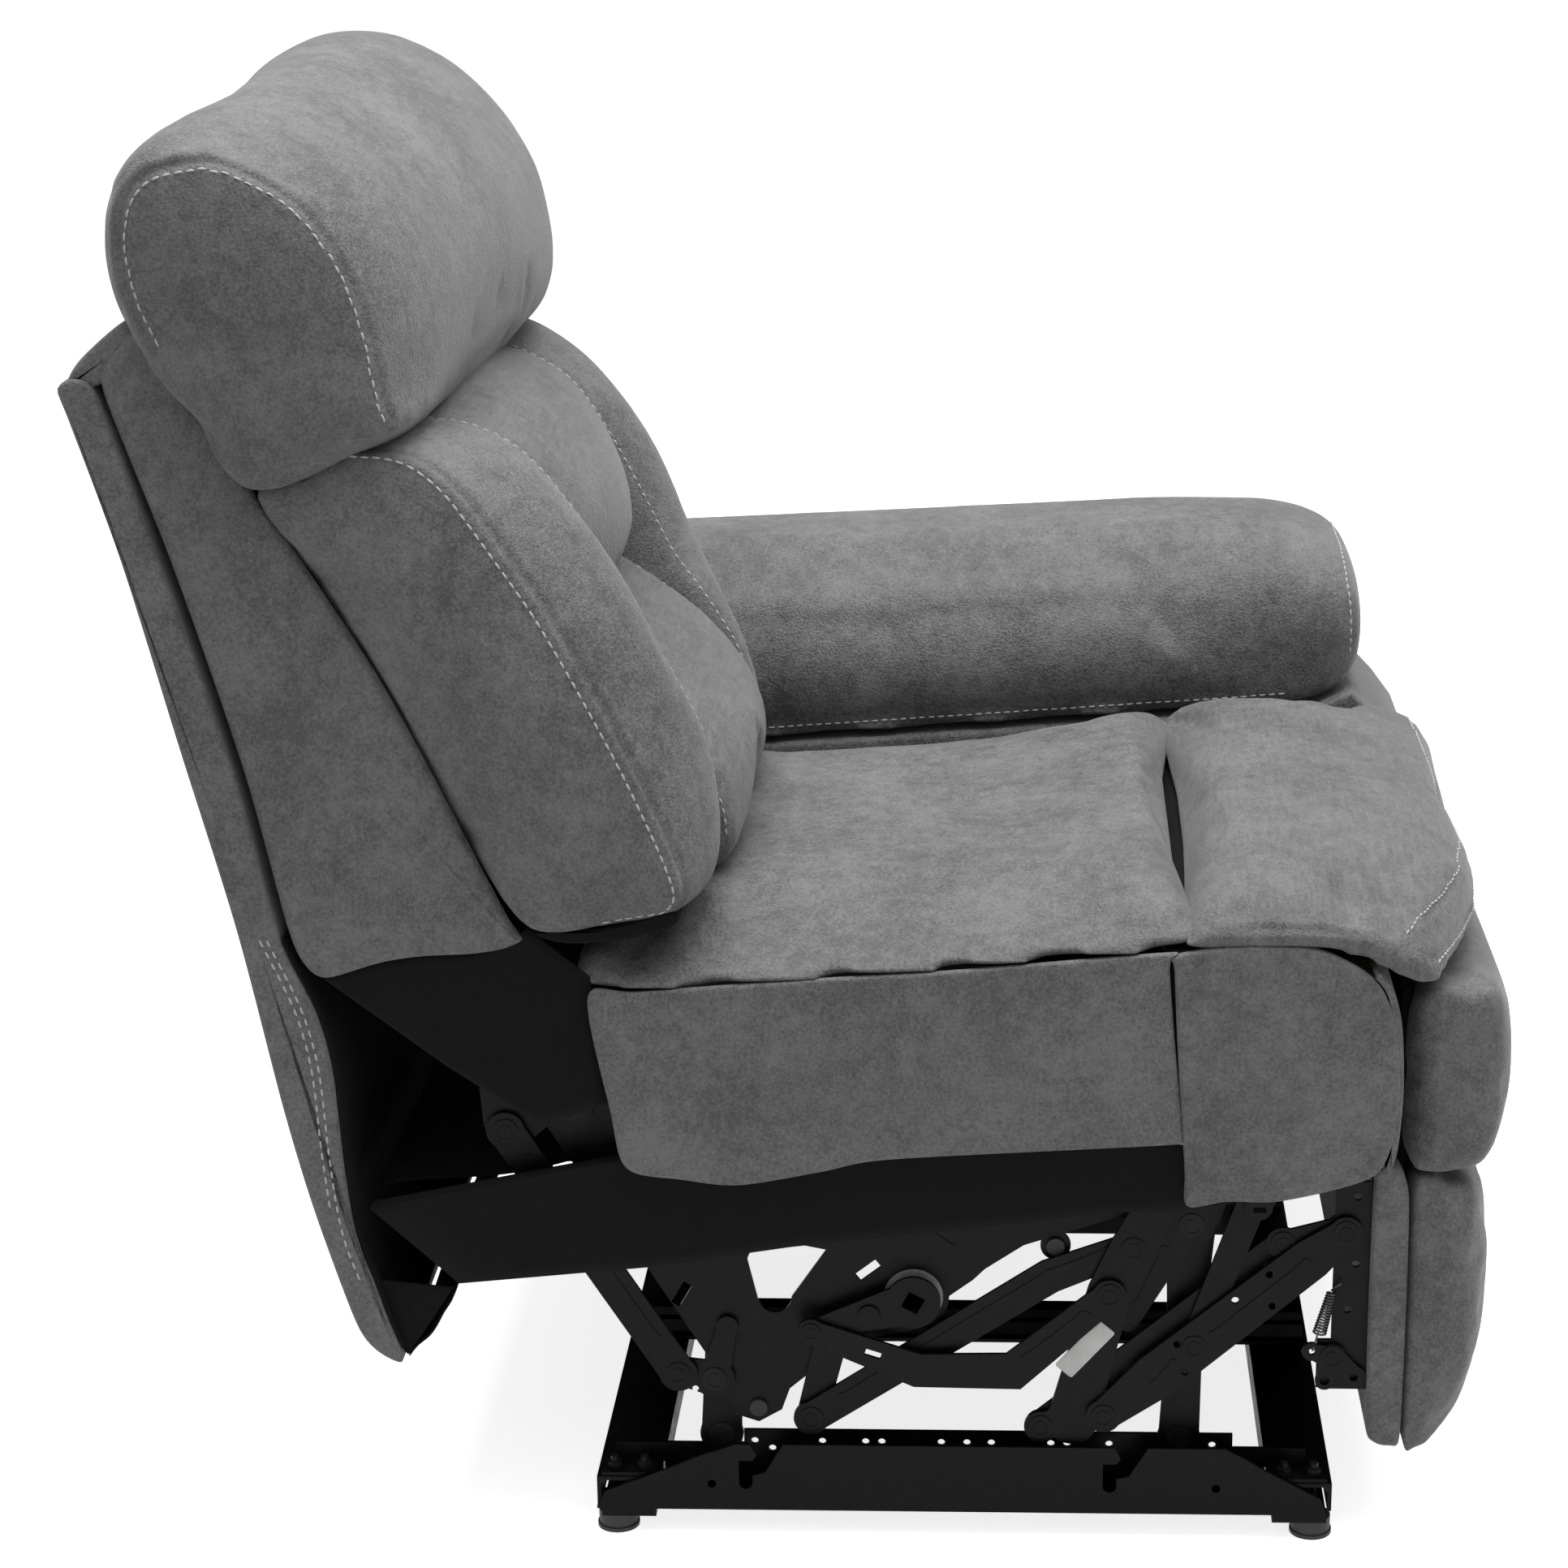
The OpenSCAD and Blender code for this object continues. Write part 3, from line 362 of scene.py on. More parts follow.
def rounded(outline, x0, x1, radius, steps=6):
    """Rings of one outline between x0 and x1 with rounded ends."""
    out = normals(outline)
    rings = []
    for k in range(steps):
        a = math.pi / 2 * k / steps
        rings.append((x0 + radius * (1 - math.cos(a)), outline - out * radius * (1 - math.sin(a))))
    flat = [(x0 + radius + (x1 - x0 - 2 * radius) * t, outline) for t in np.linspace(0, 1, 12)]
    mirror = [(x1 - (x - x0), o) for x, o in rings[::-1]]
    return rings + flat + mirror


# ---------------------------------------------------------------- stitches

def surface_of(obj):
    """Search tree over an object's own mesh, in the row frame."""
    mesh = obj.data
    return BVHTree.FromPolygons([obj.matrix_world @ v.co for v in mesh.vertices],
                                [tuple(p.vertices) for p in mesh.polygons])


def resample(path, pitch):
    """Points along a 3-D path of Vectors, one every pitch millimetres."""
    pts = np.array([tuple(p) for p in path])
    steps = np.r_[0, np.cumsum(np.linalg.norm(np.diff(pts, axis=0), axis=1))]
    count = max(2, int(round(steps[-1] / (pitch * MM))))
    where = np.linspace(0, steps[-1], count + 1)
    return [Vector([np.interp(w, steps, pts[:, k]) for k in range(3)]) for w in where]


def stitches(name, paths, target, body, pitch=8.0, length=5.6, radius=0.75):
    """Row of separate thread stitches that lie on the target along each path."""
    tree = surface_of(target)
    verts, faces = [], []
    for path in paths:
        centres = resample(path, pitch)
        for a, b in zip(centres[:-1], centres[1:]):
            middle, normal, _, _ = tree.find_nearest((a + b) / 2)
            if middle is None:
                continue
            run = (b - a)
            run -= normal * run.dot(normal)
            if run.length < 1e-6:
                continue
            run.normalize()
            across = normal.cross(run)
            half = length / 2 * MM
            base = len(verts)
            for s, grow in ((-1, 0.25), (-0.8, 0.9), (0, 1.15), (0.8, 0.9), (1, 0.25)):
                centre = middle + run * s * half + normal * (0.35 * MM * (1 - abs(s) * 1.4))
                for k in range(6):
                    w = math.tau * k / 6
                    ring = across * math.cos(w) + normal * math.sin(w) * 0.8
                    verts.append(centre + ring * radius * grow * MM)
            for r in range(4):
                for k in range(6):
                    m = (k + 1) % 6
                    faces.append((base + r * 6 + k, base + r * 6 + m,
                                  base + r * 6 + 6 + m, base + r * 6 + 6 + k))
            faces.append(tuple(base + k for k in range(6)))
            faces.append(tuple(base + 24 + k for k in range(6)))
    return mesh_object(name, verts, faces, body, THREAD)


def groove(obj, paths, width=5.0, depth=3.0, lip=0.0):
    """Presses a seam's valley into the mesh along each path, with a raised lip beside it."""
    samples = [q for path in paths for q in resample(path, 2.0)]
    tree = KDTree(len(samples))
    for i, q in enumerate(samples):
        tree.insert(q, i)
    tree.balance()
    world = obj.matrix_world
    back = world.inverted()
    moved = []
    for v in obj.data.vertices:
        q = world @ v.co
        distance = tree.find(q)[2] / MM
        if distance > width * 4:
            continue
        fall = math.exp(-(distance / width) ** 2)
        ridge = lip * math.exp(-((distance - width * 1.9) / width) ** 2)
        moved.append((v.index, back @ (q + v.normal * (ridge - depth * fall) * MM)))
    for index, co in moved:
        obj.data.vertices[index].co = co
    obj.data.update()


def subdivide(obj, levels=1):
    modifier = obj.modifiers.new("smooth", "SUBSURF")
    modifier.levels = levels
    modifier.render_levels = levels
    bake(obj)


def bake(obj):
    """Applies the object's modifiers to its mesh."""
    graph = bpy.context.evaluated_depsgraph_get()
    graph.update()
    mesh = bpy.data.meshes.new_from_object(obj.evaluated_get(graph))
    obj.modifiers.clear()
    obj.data = mesh
    mesh.polygons.foreach_set("use_smooth", [True] * len(mesh.polygons))


def remesh(obj, voxel=6.0, smooth=2):
    modifier = obj.modifiers.new("remesh", "REMESH")
    modifier.mode = "VOXEL"
    modifier.voxel_size = voxel * MM
    modifier.use_smooth_shade = True
    if smooth:
        relax = obj.modifiers.new("relax", "SMOOTH")
        relax.factor = 0.5
        relax.iterations = smooth
    bake(obj)


def plump(obj, pins, pressure=4.0, cap=12.0, voxel=7.0, hold=14.0):
    """Swells a pad with a short cloth simulation, held along its seams."""
    remesh(obj, voxel)
    samples = [q for path in pins for q in resample(path, 4.0)]
    tree = KDTree(max(1, len(samples)))
    for i, q in enumerate(samples):
        tree.insert(q, i)
    tree.balance()
    rest = np.array([v.co for v in obj.data.vertices])
    group = obj.vertex_groups.new(name="held")
    for v in obj.data.vertices:
        distance = tree.find(obj.matrix_world @ v.co)[2] / MM if samples else 1e9
        weight = max(0.0, 1 - distance / hold)
        if weight > 0:
            group.add([v.index], weight, "REPLACE")
    cloth = obj.modifiers.new("cloth", "CLOTH")
    cloth.settings.quality = 4
    cloth.settings.mass = 0.4
    cloth.settings.tension_stiffness = 18
    cloth.settings.compression_stiffness = 12
    cloth.settings.bending_stiffness = 2.0
    cloth.settings.use_pressure = True
    cloth.settings.uniform_pressure_force = pressure
    cloth.settings.vertex_group_mass = "held"
    cloth.settings.effector_weights.gravity = 0
    cloth.collision_settings.use_collision = False
    cloth.point_cache.frame_start = 1
    cloth.point_cache.frame_end = 20
    scene = bpy.context.scene
    for step in range(1, 21):
        scene.frame_set(step)
    bake(obj)
    scene.frame_set(1)
    now = np.array([v.co for v in obj.data.vertices])
    if len(now) != len(rest):
        return
    move = now - rest
    far = np.linalg.norm(move, axis=1)
    limit = np.minimum(far, cap * MM) / np.maximum(far, 1e-9)
    obj.data.vertices.foreach_set("co", (rest + move * limit[:, None]).ravel())
    obj.data.update()
    obj.vertex_groups.clear()


def soft(obj, node):
    """Hides the CAD node that a padded piece stands for, and returns the piece."""
    if node:
        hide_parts(node)
    return obj


def line(points, x):
    """Path in the plane x through [y, z] pairs, smoothed."""
    return [point(x, y, z) for y, z in spline(points, 80, closed=False)]


def sheet_across(name, path, x0, x1, body, sag=0.0):
    """Sheet of black cloth that runs across the chair along a [y, z] path."""
    rows = spline(path, 36, closed=False)
    columns = 30
    verts, faces = [], []
    for i in range(columns + 1):
        t = i / columns
        for k, (y, z) in enumerate(rows):
            ripple = 1.2 * math.sin(9 * t * math.pi + 0.35 * k)
            verts.append(point(x0 + (x1 - x0) * t, y, z - sag * math.sin(math.pi * t) + ripple))
    n = len(rows)
    for i in range(columns):
        for k in range(n - 1):
            a = i * n + k
            faces.append((a, a + 1, a + n + 1, a + n))
    obj = mesh_object(name, verts, faces, body, LINING)
    thicken(obj, 1.0)
    return obj


def sheet_beside(name, outline, x, body, wave=1.5):
    """Sheet of black cloth in the side plane x, cut to a [y, z] outline."""
    border = border_of(outline, pitch=8)
    middle = border.mean(0)
    verts, faces = [], []
    shares = np.linspace(1, 0.1, 10)
    for share in shares:
        for y, z in middle + (border - middle) * share:
            fold = wave * (1 - share) * math.sin(y * 0.045 + z * 0.03)
            verts.append(point(x + fold, y, z))
    n = len(border)
    for r in range(len(shares) - 1):
        for i in range(n):
            j = (i + 1) % n
            faces.append((r * n + i, r * n + j, (r + 1) * n + j, (r + 1) * n + i))
    verts.append(point(x, *middle))
    last = (len(shares) - 1) * n
    faces += [(last + i, last + (i + 1) % n, len(verts) - 1) for i in range(n)]
    obj = mesh_object(name, verts, faces, body, LINING)
    thicken(obj, 1.0)
    y, z = border[:, 0], border[:, 1]
    return obj


def thicken(obj, thickness):
    """Gives a single-layer mesh its cloth thickness in millimetres."""
    modifier = obj.modifiers.new("thickness", "SOLIDIFY")
    modifier.thickness = thickness * MM
    modifier.offset = 0
    bake(obj)


# ---------------------------------------------------------------- headrest

HEAD_END = [(475, 789), (508, 838), (535, 885), (550, 924), (553, 961), (546, 987),
            (529, 1002), (493, 1009), (468, 1002), (436, 983), (414, 957), (398, 924),
            (388, 886), (383, 852), (376, 834), (408, 817)]
HEAD_SEAM = HEAD_END[2:15]
HEAD_MID = [(478, 796), (520, 846), (552, 898), (572, 942), (575, 978), (556, 1018),
            (516, 1040), (468, 1040), (424, 1020), (388, 986), (362, 944), (348, 898),
            (345, 862), (356, 836), (384, 822), (420, 812)]
# Height where the headrest's lead starts, and the height over which it grows
HEAD_NECK = 830
HEAD_RISE = 110


def led(shape, forward, down):
    """Lead of the headrest's upper part towards the front and down."""
    return np.clip((shape[:, 1:] - HEAD_NECK) / HEAD_RISE, 0, 1) * (forward, down)


def headrest():
    """Rolled headrest with a flat stitched panel at each end."""
    end = spline(HEAD_END, 96)
    mid = spline(HEAD_MID, 96)
    near = [(0, 0.0, -7, 0), (3, 0.0, -2, 3), (6, 0.0, 1, 5), (10, 0.02, 3, 8),
            (20, 0.10, 4, 9), (36, 0.22, 5, 9), (60, 0.36, 5, 8), (95, 0.50, 5, 6),
            (140, 0.62, 4, 4), (190, 0.72, 4, 2), (250, 0.82, 5, 0), (310, 0.91, 6, 0)]
    far = [(0, 0.0, -7), (3, 0.0, -2), (6, 0.0, 1), (10, 0.06, 4), (20, 0.26, 7),
           (36, 0.52, 8), (60, 0.80, 9), (95, 0.96, 9), (140, 1.0, 8), (190, 0.99, 8)]
    rings = []
    for depth, mix, swell, rear in near:
        shape = between(end, mid, mix)
        behind = np.clip((shape[:, :1] - 470) / 60, 0, 1)
        shape = shape + normals(shape) * (swell + rear * behind)
        rings.append((HEAD_X0 + 4 + depth, shape - led(shape, 9 * mix, 1.5 * mix)))
    for depth, mix, swell in far:
        shape = between(end, mid, mix)
        rings.append((HEAD_X1 - 4 - depth, shape + normals(shape) * swell - led(shape, 8, 1)))
    rings.sort(key=lambda r: r[0])
    obj = loft("headrest_roll", rings, "back", dome=(7, 7))
    seams = [line(HEAD_SEAM, x) for x in (HEAD_X0 + 7, HEAD_X1 - 7)]
    plump(obj, seams, cap=6)
    subdivide(obj)
    groove(obj, seams, 3.2, 2.6, 0.5)
    soft(obj, "headrest")
    inner = [line([(y + (470 - y) * 0.035, z + (900 - z) * 0.035) for y, z in HEAD_SEAM], x)
             for x in (HEAD_X0 + 1, HEAD_X1 - 1)]
    stitches("headrest_stitches", inner, obj, "back")


# ---------------------------------------------------------------- back cushions

BOLSTER_SIDE = [(478, 787), (440, 803), (406, 816), (370, 811), (342, 790), (311, 746),
                (283, 703), (255, 651), (226, 592), (201, 533), (193, 504), (203, 489),
                (245, 481), (304, 475), (351, 554), (398, 645), (440, 722)]
BOLSTER_EDGE = BOLSTER_SIDE[2:13]
BOLSTER_INNER = [(478, 790), (440, 806), (402, 820), (376, 818), (348, 814), (318, 801),
                 (291, 775), (258, 727), (225, 667), (205, 630), (188, 596), (179, 558),
                 (177, 520), (186, 488), (240, 480), (304, 477), (398, 645)]
FAR_INNER = [(478, 790), (430, 806), (392, 812), (360, 804), (325, 784), (303, 757),
             (280, 716), (262, 680), (242, 640), (213, 600), (190, 562), (178, 527),
             (174, 495), (184, 483), (240, 480), (304, 477), (398, 645)]


# Swell of a bolster: fullness, belly's height and half its length, share elsewhere, lift
NEAR_BELLY = (1.0, 705, 75, 0.35, 0.4)
FAR_BELLY = (1.35, 715, 105, 0.15, 1.0)


def bolster(name, node, outer_x, inner_x, inner_points, belly):
    """Side bolster: a flat stitched side panel and a rounded front up to the inner seam."""
    fullness, belly_z, belly_h, base, lift = belly
    side = spline(BOLSTER_SIDE, 110)
    inner = spline(inner_points, 110)
    way = 1 if inner_x > outer_x else -1
    span = abs(inner_x - outer_x)
    rings = []
    for share, mix, swell in ((0.0, 0, -9), (0.025, 0, -3), (0.06, 0, 0), (0.10, 0.05, 4),
                              (0.2, 0.2, 10), (0.35, 0.42, 15), (0.5, 0.62, 17),
                              (0.65, 0.78, 15), (0.8, 0.9, 10), (0.92, 0.97, 2),
                              (1.0, 1, -7)):
        shape = between(side, inner, mix)
        out = normals(shape)
        forward = np.clip((360 - shape[:, :1]) / 200 + lift, 0, 1)
        share_z = base + (1 - base) * np.exp(-((shape[:, 1:] - belly_z) / belly_h) ** 2)
        amount = swell * share_z * fullness if swell > 0 else swell
        rings.append((outer_x + way * share * span, shape + out * amount * forward))
    rings.sort(key=lambda r: r[0])
    obj = loft(name, rings, "back", dome=(3, 3))
    seams = [line(BOLSTER_EDGE, outer_x + way * 0.075 * span)]
    inner_edge = inner_points[2:14]
    plump(obj, seams + [line(inner_edge, inner_x)], cap=8)
    subdivide(obj)
    groove(obj, seams, 3.2, 2.4, 0.6)
    soft(obj, node)
    inset = [(y + 7, z - 3) for y, z in BOLSTER_EDGE]
    rows = [line(inset, outer_x), line(inner_edge, inner_x - way * 8)]
    stitches(name + "_stitches", rows, obj, "back")
    return obj


UPPER_SEAM = [(385, 816), (350, 810), (318, 790), (300, 752), (292, 715), (288, 684),
              (300, 655)]
UPPER_MID = [(478, 800), (430, 812), (392, 818), (352, 814), (308, 792), (276, 754),
             (260, 712), (262, 676), (284, 652), (330, 652), (400, 660), (440, 722)]
UPPER_END = [(478, 792), (430, 804), (390, 808), (357, 802), (328, 784), (312, 760),
             (300, 730), (295, 700), (297, 672), (306, 656), (335, 652), (400, 660), (440, 722)]
LOWER_MID = [(405, 655), (330, 660), (288, 650), (250, 630), (214, 600), (180, 562),
             (160, 520), (158, 492), (176, 480), (230, 478), (303, 476), (352, 556)]
LOWER_END = [(405, 650), (330, 654), (292, 647), (256, 625), (219, 597), (189, 563),
             (176, 535), (173, 506), (184, 482), (232, 479), (303, 476), (352, 556)]
LOWER_SEAM = [(292, 647), (256, 625), (219, 597), (189, 563), (176, 535), (173, 506)]


def middle_cushion(name, node, mid, end, seam):
    """Middle back cushion that swells between its two side seams."""
    inner = spline(mid, 90)
    outer = spline(end, 90)
    span = SEAM_X1 - SEAM_X0
    rings = []
    for t in np.linspace(0, 1, 25):
        swell = math.sin(math.pi * t) ** 0.55
        shape = between(outer, inner, swell)
        pull = -7 if t in (0, 1) else 0
        rings.append((SEAM_X0 + span * t, shape + normals(shape) * pull))
    obj = loft(name, rings, "back", STRETCHED, dome=(3, 3))
    sides = [line(seam, x) for x in (SEAM_X0, SEAM_X1)]
    plump(obj, sides, cap=11)
    subdivide(obj)
    soft(obj, node)
    inset = [line(seam, x) for x in (SEAM_X0 + 7, SEAM_X1 - 7)]
    stitches(name + "_stitches", inset, obj, "back")
    return obj


# ---------------------------------------------------------------- outside back

SHELL_SIDE = [(576, 853), (571, 872), (551, 899), (540, 886), (480, 786), (398, 650),
              (318, 482), (306, 470), (318, 461), (344, 456), (379, 454), (409, 449),
              (446, 437), (457, 441), (471, 468), (497, 590), (538, 737)]
REAR_OUTER = [(607, 856), (601, 838), (571, 737), (540, 607), (508, 474), (483, 343),
              (467, 272), (450, 211), (436, 168), (423, 151), (405, 142)]
REAR_INNER = [(407, 154), (415, 176), (424, 206), (433, 234), (438, 262), (442, 307),
              (446, 370), (456, 415), (478, 467), (504, 590), (545, 737), (580, 850), (592, 862)]
LINING_TOP = [(451, 438), (409, 450), (379, 455), (344, 456), (322, 465), (305, 475)]
LINING_LOW = [(262, 440), (252, 345), (300, 328), (318, 340), (365, 372)]


def outside_back():
    """Padded side panels, the rear board with its turned edge, the top flap and linings."""
    outline = spline(SHELL_SIDE, 130)
    for name, x0, x1 in (("near_back_side", BODY_X0 - 1, BODY_X0 + 12),
                         ("far_back_side", BODY_X1 - 12, BODY_X1 + 1)):
        obj = loft(name, rounded(outline, x0, x1, 6, 4), "back", dome=(3, 3))
        subdivide(obj)
    outline = spline(REAR_OUTER + REAR_INNER, 180)
    obj = loft("rear_back_panel", rounded(outline, BODY_X0 - 3, BODY_X1 + 3, 4, 4), "back")
    subdivide(obj)
    soft(obj, "back_shell")
    top = spline([(600, 856), (591, 873), (560, 899), (547, 896), (545, 880), (580, 856)], 60)
    flap = loft("top_flap", rounded(top, BODY_X0 + 2, BODY_X1 - 2, 5, 4), "back")
    soft(flap, None)
    inner = REAR_INNER[:9]
    edge = [line([(y + 9, z + 2) for y, z in inner[2:]], x) for x in (BODY_X0 - 4, BODY_X1 + 4)]
    edge += [line([(y + 14, z + 2) for y, z in inner[4:]], x)
             for x in (BODY_X0 - 4, BODY_X1 + 4)]
    stitches("rear_edge_stitches", edge, obj, "back", pitch=9)
    sheet_across("rear_lining", [(y - 1.5, z) for y, z in inner], BODY_X0 + 1, BODY_X1 - 1,
                 "back")
    near = sheet_beside("near_back_lining", LINING_TOP + LINING_LOW, BODY_X0 + 4, "back")
    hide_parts("back_lining")
    sheet_beside("far_back_lining", LINING_TOP + LINING_LOW, BODY_X1 - 4, "back")
    for name, x in (("near_tail_lining", BODY_X0 + 8), ("far_tail_lining", BODY_X1 - 8)):
        sheet_beside(name, [(434, 206), (424, 170), (403, 146), (368, 200)], x, "back")
    sheet_across("back_bottom_lining", [(402, 146), (380, 172), (366, 199)], BODY_X0 + 6,
                 BODY_X1 - 6, "back")
    wedge = spline([(306, 473), (255, 475), (206, 488), (200, 480), (232, 468), (278, 464)], 50)
    under = loft("bolster_underside", rounded(wedge, BODY_X0 + 4, SEAM_X0, 2, 3), "back", LINING)


# ---------------------------------------------------------------- seat

SEAT_SEAM = [(266, 428), (180, 433), (4, 448), (-80, 458), (-156, 467)]
SEAT_OUTLINE = [(270, 432), (274, 446), (262, 456), (200, 459), (100, 464), (0, 471),
                (-90, 484), (-138, 488), (-156, 481), (-163, 466), (-80, 458), (4, 449),
                (180, 434)]


def seat_cushion():
    """Crowned seat with a soft roll down to its side seams."""
    outline = spline(SEAT_OUTLINE, 120)
    centre = np.array([60, 452.0])
    rings = []
    x0, x1 = BODY_X0 - 3, BODY_X1 - 1
    for t in np.linspace(0, 1, 29):
        edge = min(t, 1 - t) * (x1 - x0)
        roll = math.sqrt(max(0.0, 1 - (1 - min(1, edge / 34)) ** 2))
        crown = 1 + 0.35 * math.sin(math.pi * t)
        shape = outline.copy()
        top = np.clip((shape[:, 1] - np.interp(shape[:, 0], (-163, 270), (467, 430))), 0, 99)
        shape[:, 1] += top * (roll * crown - 1) * 0.9
        rings.append((x0 + (x1 - x0) * t, shape))
    obj = loft("seat_pad", rings, "seat", dome=(2, 0))
    seams = [line(SEAT_SEAM, x) for x in (x0, x1)]
    plump(obj, seams, cap=12)
    subdivide(obj)
    soft(obj, "seat_cushion")


CHAISE_OUTLINE = [(-158, 464), (-158, 478), (-173, 494), (-210, 501), (-270, 501),
                  (-318, 494), (-346, 485), (-363, 474), (-371, 460), (-377, 446), (-374, 438),
                  (-362, 438), (-344, 446), (-316, 464), (-240, 466)]
CHAISE_BASE = ((-379, -344, -316, -153), (438, 446, 464, 466))
# How far the chaise's front corner draws back beside its near end, by x
# Black band of painted shade at the foot of the crease between seat and chaise pad
CREASE_SHADE = [(-140, 448), (-140, 462), (-176, 462), (-176, 448)]
CORNER_X = (-34, 0, 56, 110, 170, 270)
CORNER_BACK = (50, 40, 18, 2, -5, -4)


def drawn_back(x, y):
    """Shift of a chaise point towards the back at the rounded near corner."""
    return np.interp(x, CORNER_X, CORNER_BACK) * np.clip((-190 - y) / 140, 0, 1)


def chaise_pad():
    """Pad that carries on from the seat and rolls over the front edge."""
    outline = spline(CHAISE_OUTLINE, 130)
    low = np.interp(outline[:, 0], *CHAISE_BASE)
    x0, x1 = BODY_X0 - 4, BODY_X1
    rings = []
    for t in np.linspace(0, 1, 33):
        x = x0 + (x1 - x0) * t
        edge = min(x - x0, x1 - x)
        roll = math.sqrt(max(0.0, 1 - (1 - min(1, edge / 40)) ** 2))
        shape = outline.copy()
        height = np.clip(shape[:, 1] - low, 0, 99)
        shape[:, 1] += height * (0.45 + 0.55 * roll - 1) + 4 * math.sin(math.pi * t) * (height > 8)
        shape[:, 0] += drawn_back(x, shape[:, 0])
        rings.append((x, shape))
    obj = loft("chaise_roll", rings, "seat", STRETCHED, dome=(4, 4))
    seams = [line([(-160, 470), (-240, 472), (-310, 468)], x) for x in (x0, x1)]
    plump(obj, seams, cap=8)
    subdivide(obj)
    across = []
    for y, z in ((-358, 480), (-369, 458)):
        across.append([point(x, y + drawn_back(x, y), z) for x in np.linspace(x0 + 8, x1 - 10, 70)])
    side_seam = line([(-150, 473), (-173, 481), (-232, 482), (-290, 477), (-308, 472)], x0 - 1)
    groove(obj, across + [side_seam], 3.0, 2.2, 0.5)
    soft(obj, "chaise_pad")
    rows = [[q + Vector((0, 6 * MM, 0)) for q in across[0]],
            [q + Vector((0, -5 * MM, -2 * MM)) for q in across[1]]]
    stitches("chaise_stitches", rows, obj, "seat", pitch=6.5, length=4.4)
    # Black lining band laid in the crease: painted shade where the seat meets the chaise pad
    shade_band = rounded(border_of(CREASE_SHADE, steps=6), BODY_X0 + 2, BODY_X1 - 4, 3, 3)
    obj = loft("painted_crease_shade", shade_band, "seat", LINING)


def panel(name, outline, x, thick, body, puff=2.5):
    """Thin padded panel in the plane x, thick millimetres towards the outside."""
    out = normals(outline)
    rings = [(x, outline - out * 1.0), (x - thick * 0.5, outline),
             (x - thick * 0.85, outline - out * 0.8), (x - thick, outline - out * 2.6)]
    obj = loft(name, rings[::-1], body, dome=(puff, 0))
    subdivide(obj)
    return soft(obj, None)


SIDE_LINING = [(425, 263), (363, 205), (227, 219), (123, 236), (-110, 265), (-150, 266),
               (-260, 284), (-292, 308), (-300, 361), (-294, 427), (-250, 456), (-146, 456),
               (256, 420), (243, 302)]


def side_cover():
    """Stretched cover on the near side, sewn in two panels, and its rounded front."""
    rear = spline([(264, 428), (230, 431), (100, 442), (4, 449), (-144, 463), (-143, 455),
                   (-148, 395), (-155, 325), (-149, 319), (50, 306), (100, 296), (160, 285),
                   (200, 289), (240, 297), (250, 340)], 150)
    front = spline([(-145, 461), (-190, 469), (-240, 468), (-270, 456), (-290, 440),
                    (-300, 415), (-306, 370), (-303, 325), (-292, 298), (-260, 285),
                    (-220, 276), (-186, 276), (-158, 272), (-156, 300), (-150, 380),
                    (-146, 450)], 150)
    base = BODY_X0 + 2.5
    a = panel("side_cover_rear", rear, base, 7, "seat", 3)
    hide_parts("seat_cover")
    panel("side_cover_front", front, base, 8, "seat", 4)
    strip = spline([(-284, 452), (-298, 438), (-306, 410), (-309, 360), (-306, 312),
                    (-298, 296), (-296, 330), (-298, 380), (-292, 425)], 70)
    front = loft("front_cover", rounded(strip, BODY_X0 - 3, BODY_X1 - 2, 5, 4), "seat")
    soft(front, None)
    sheet_across("dust_cloth", [(425, 266), (300, 282), (256, 302), (232, 354)], 24,
                 FAR_RAIL - 24, "seat", sag=6)
    lining = sheet_beside("near_side_lining", SIDE_LINING, NEAR_LINING_X, "seat",
                          wave=0)
    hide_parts("near_lining")


# ---------------------------------------------------------------- footrest

FRONT_PAD = [(-319, 291), (-330, 288), (-360, 286), (-377, 300), (-385, 337), (-387, 376),
             (-385, 404), (-380, 424), (-367, 434), (-350, 435), (-330, 432), (-320, 420),
             (-318, 350)]
REST_PAD = [(-319, 76), (-329, 71), (-345, 78), (-362, 106), (-372, 148), (-375, 195),
            (-374, 240), (-370, 272), (-362, 286), (-340, 288), (-322, 286), (-319, 180)]
REST_WRAP = [(-293, 92), (-296, 82), (-303, 77), (-312, 77), (-318, 84), (-319, 180),
             (-318, 268), (-314, 288), (-307, 297), (-299, 296), (-293, 288), (-292, 180)]
BOARD_WRAP = [(-308.5, 284), (-308.5, 424), (-318, 424), (-318, 284)]
FRONT_SEAM = [(-340, 288), (-341, 350), (-340, 434)]
REST_SEAM = [(-339, 287), (-342, 242), (-339, 182), (-329, 100), (-324, 80)]


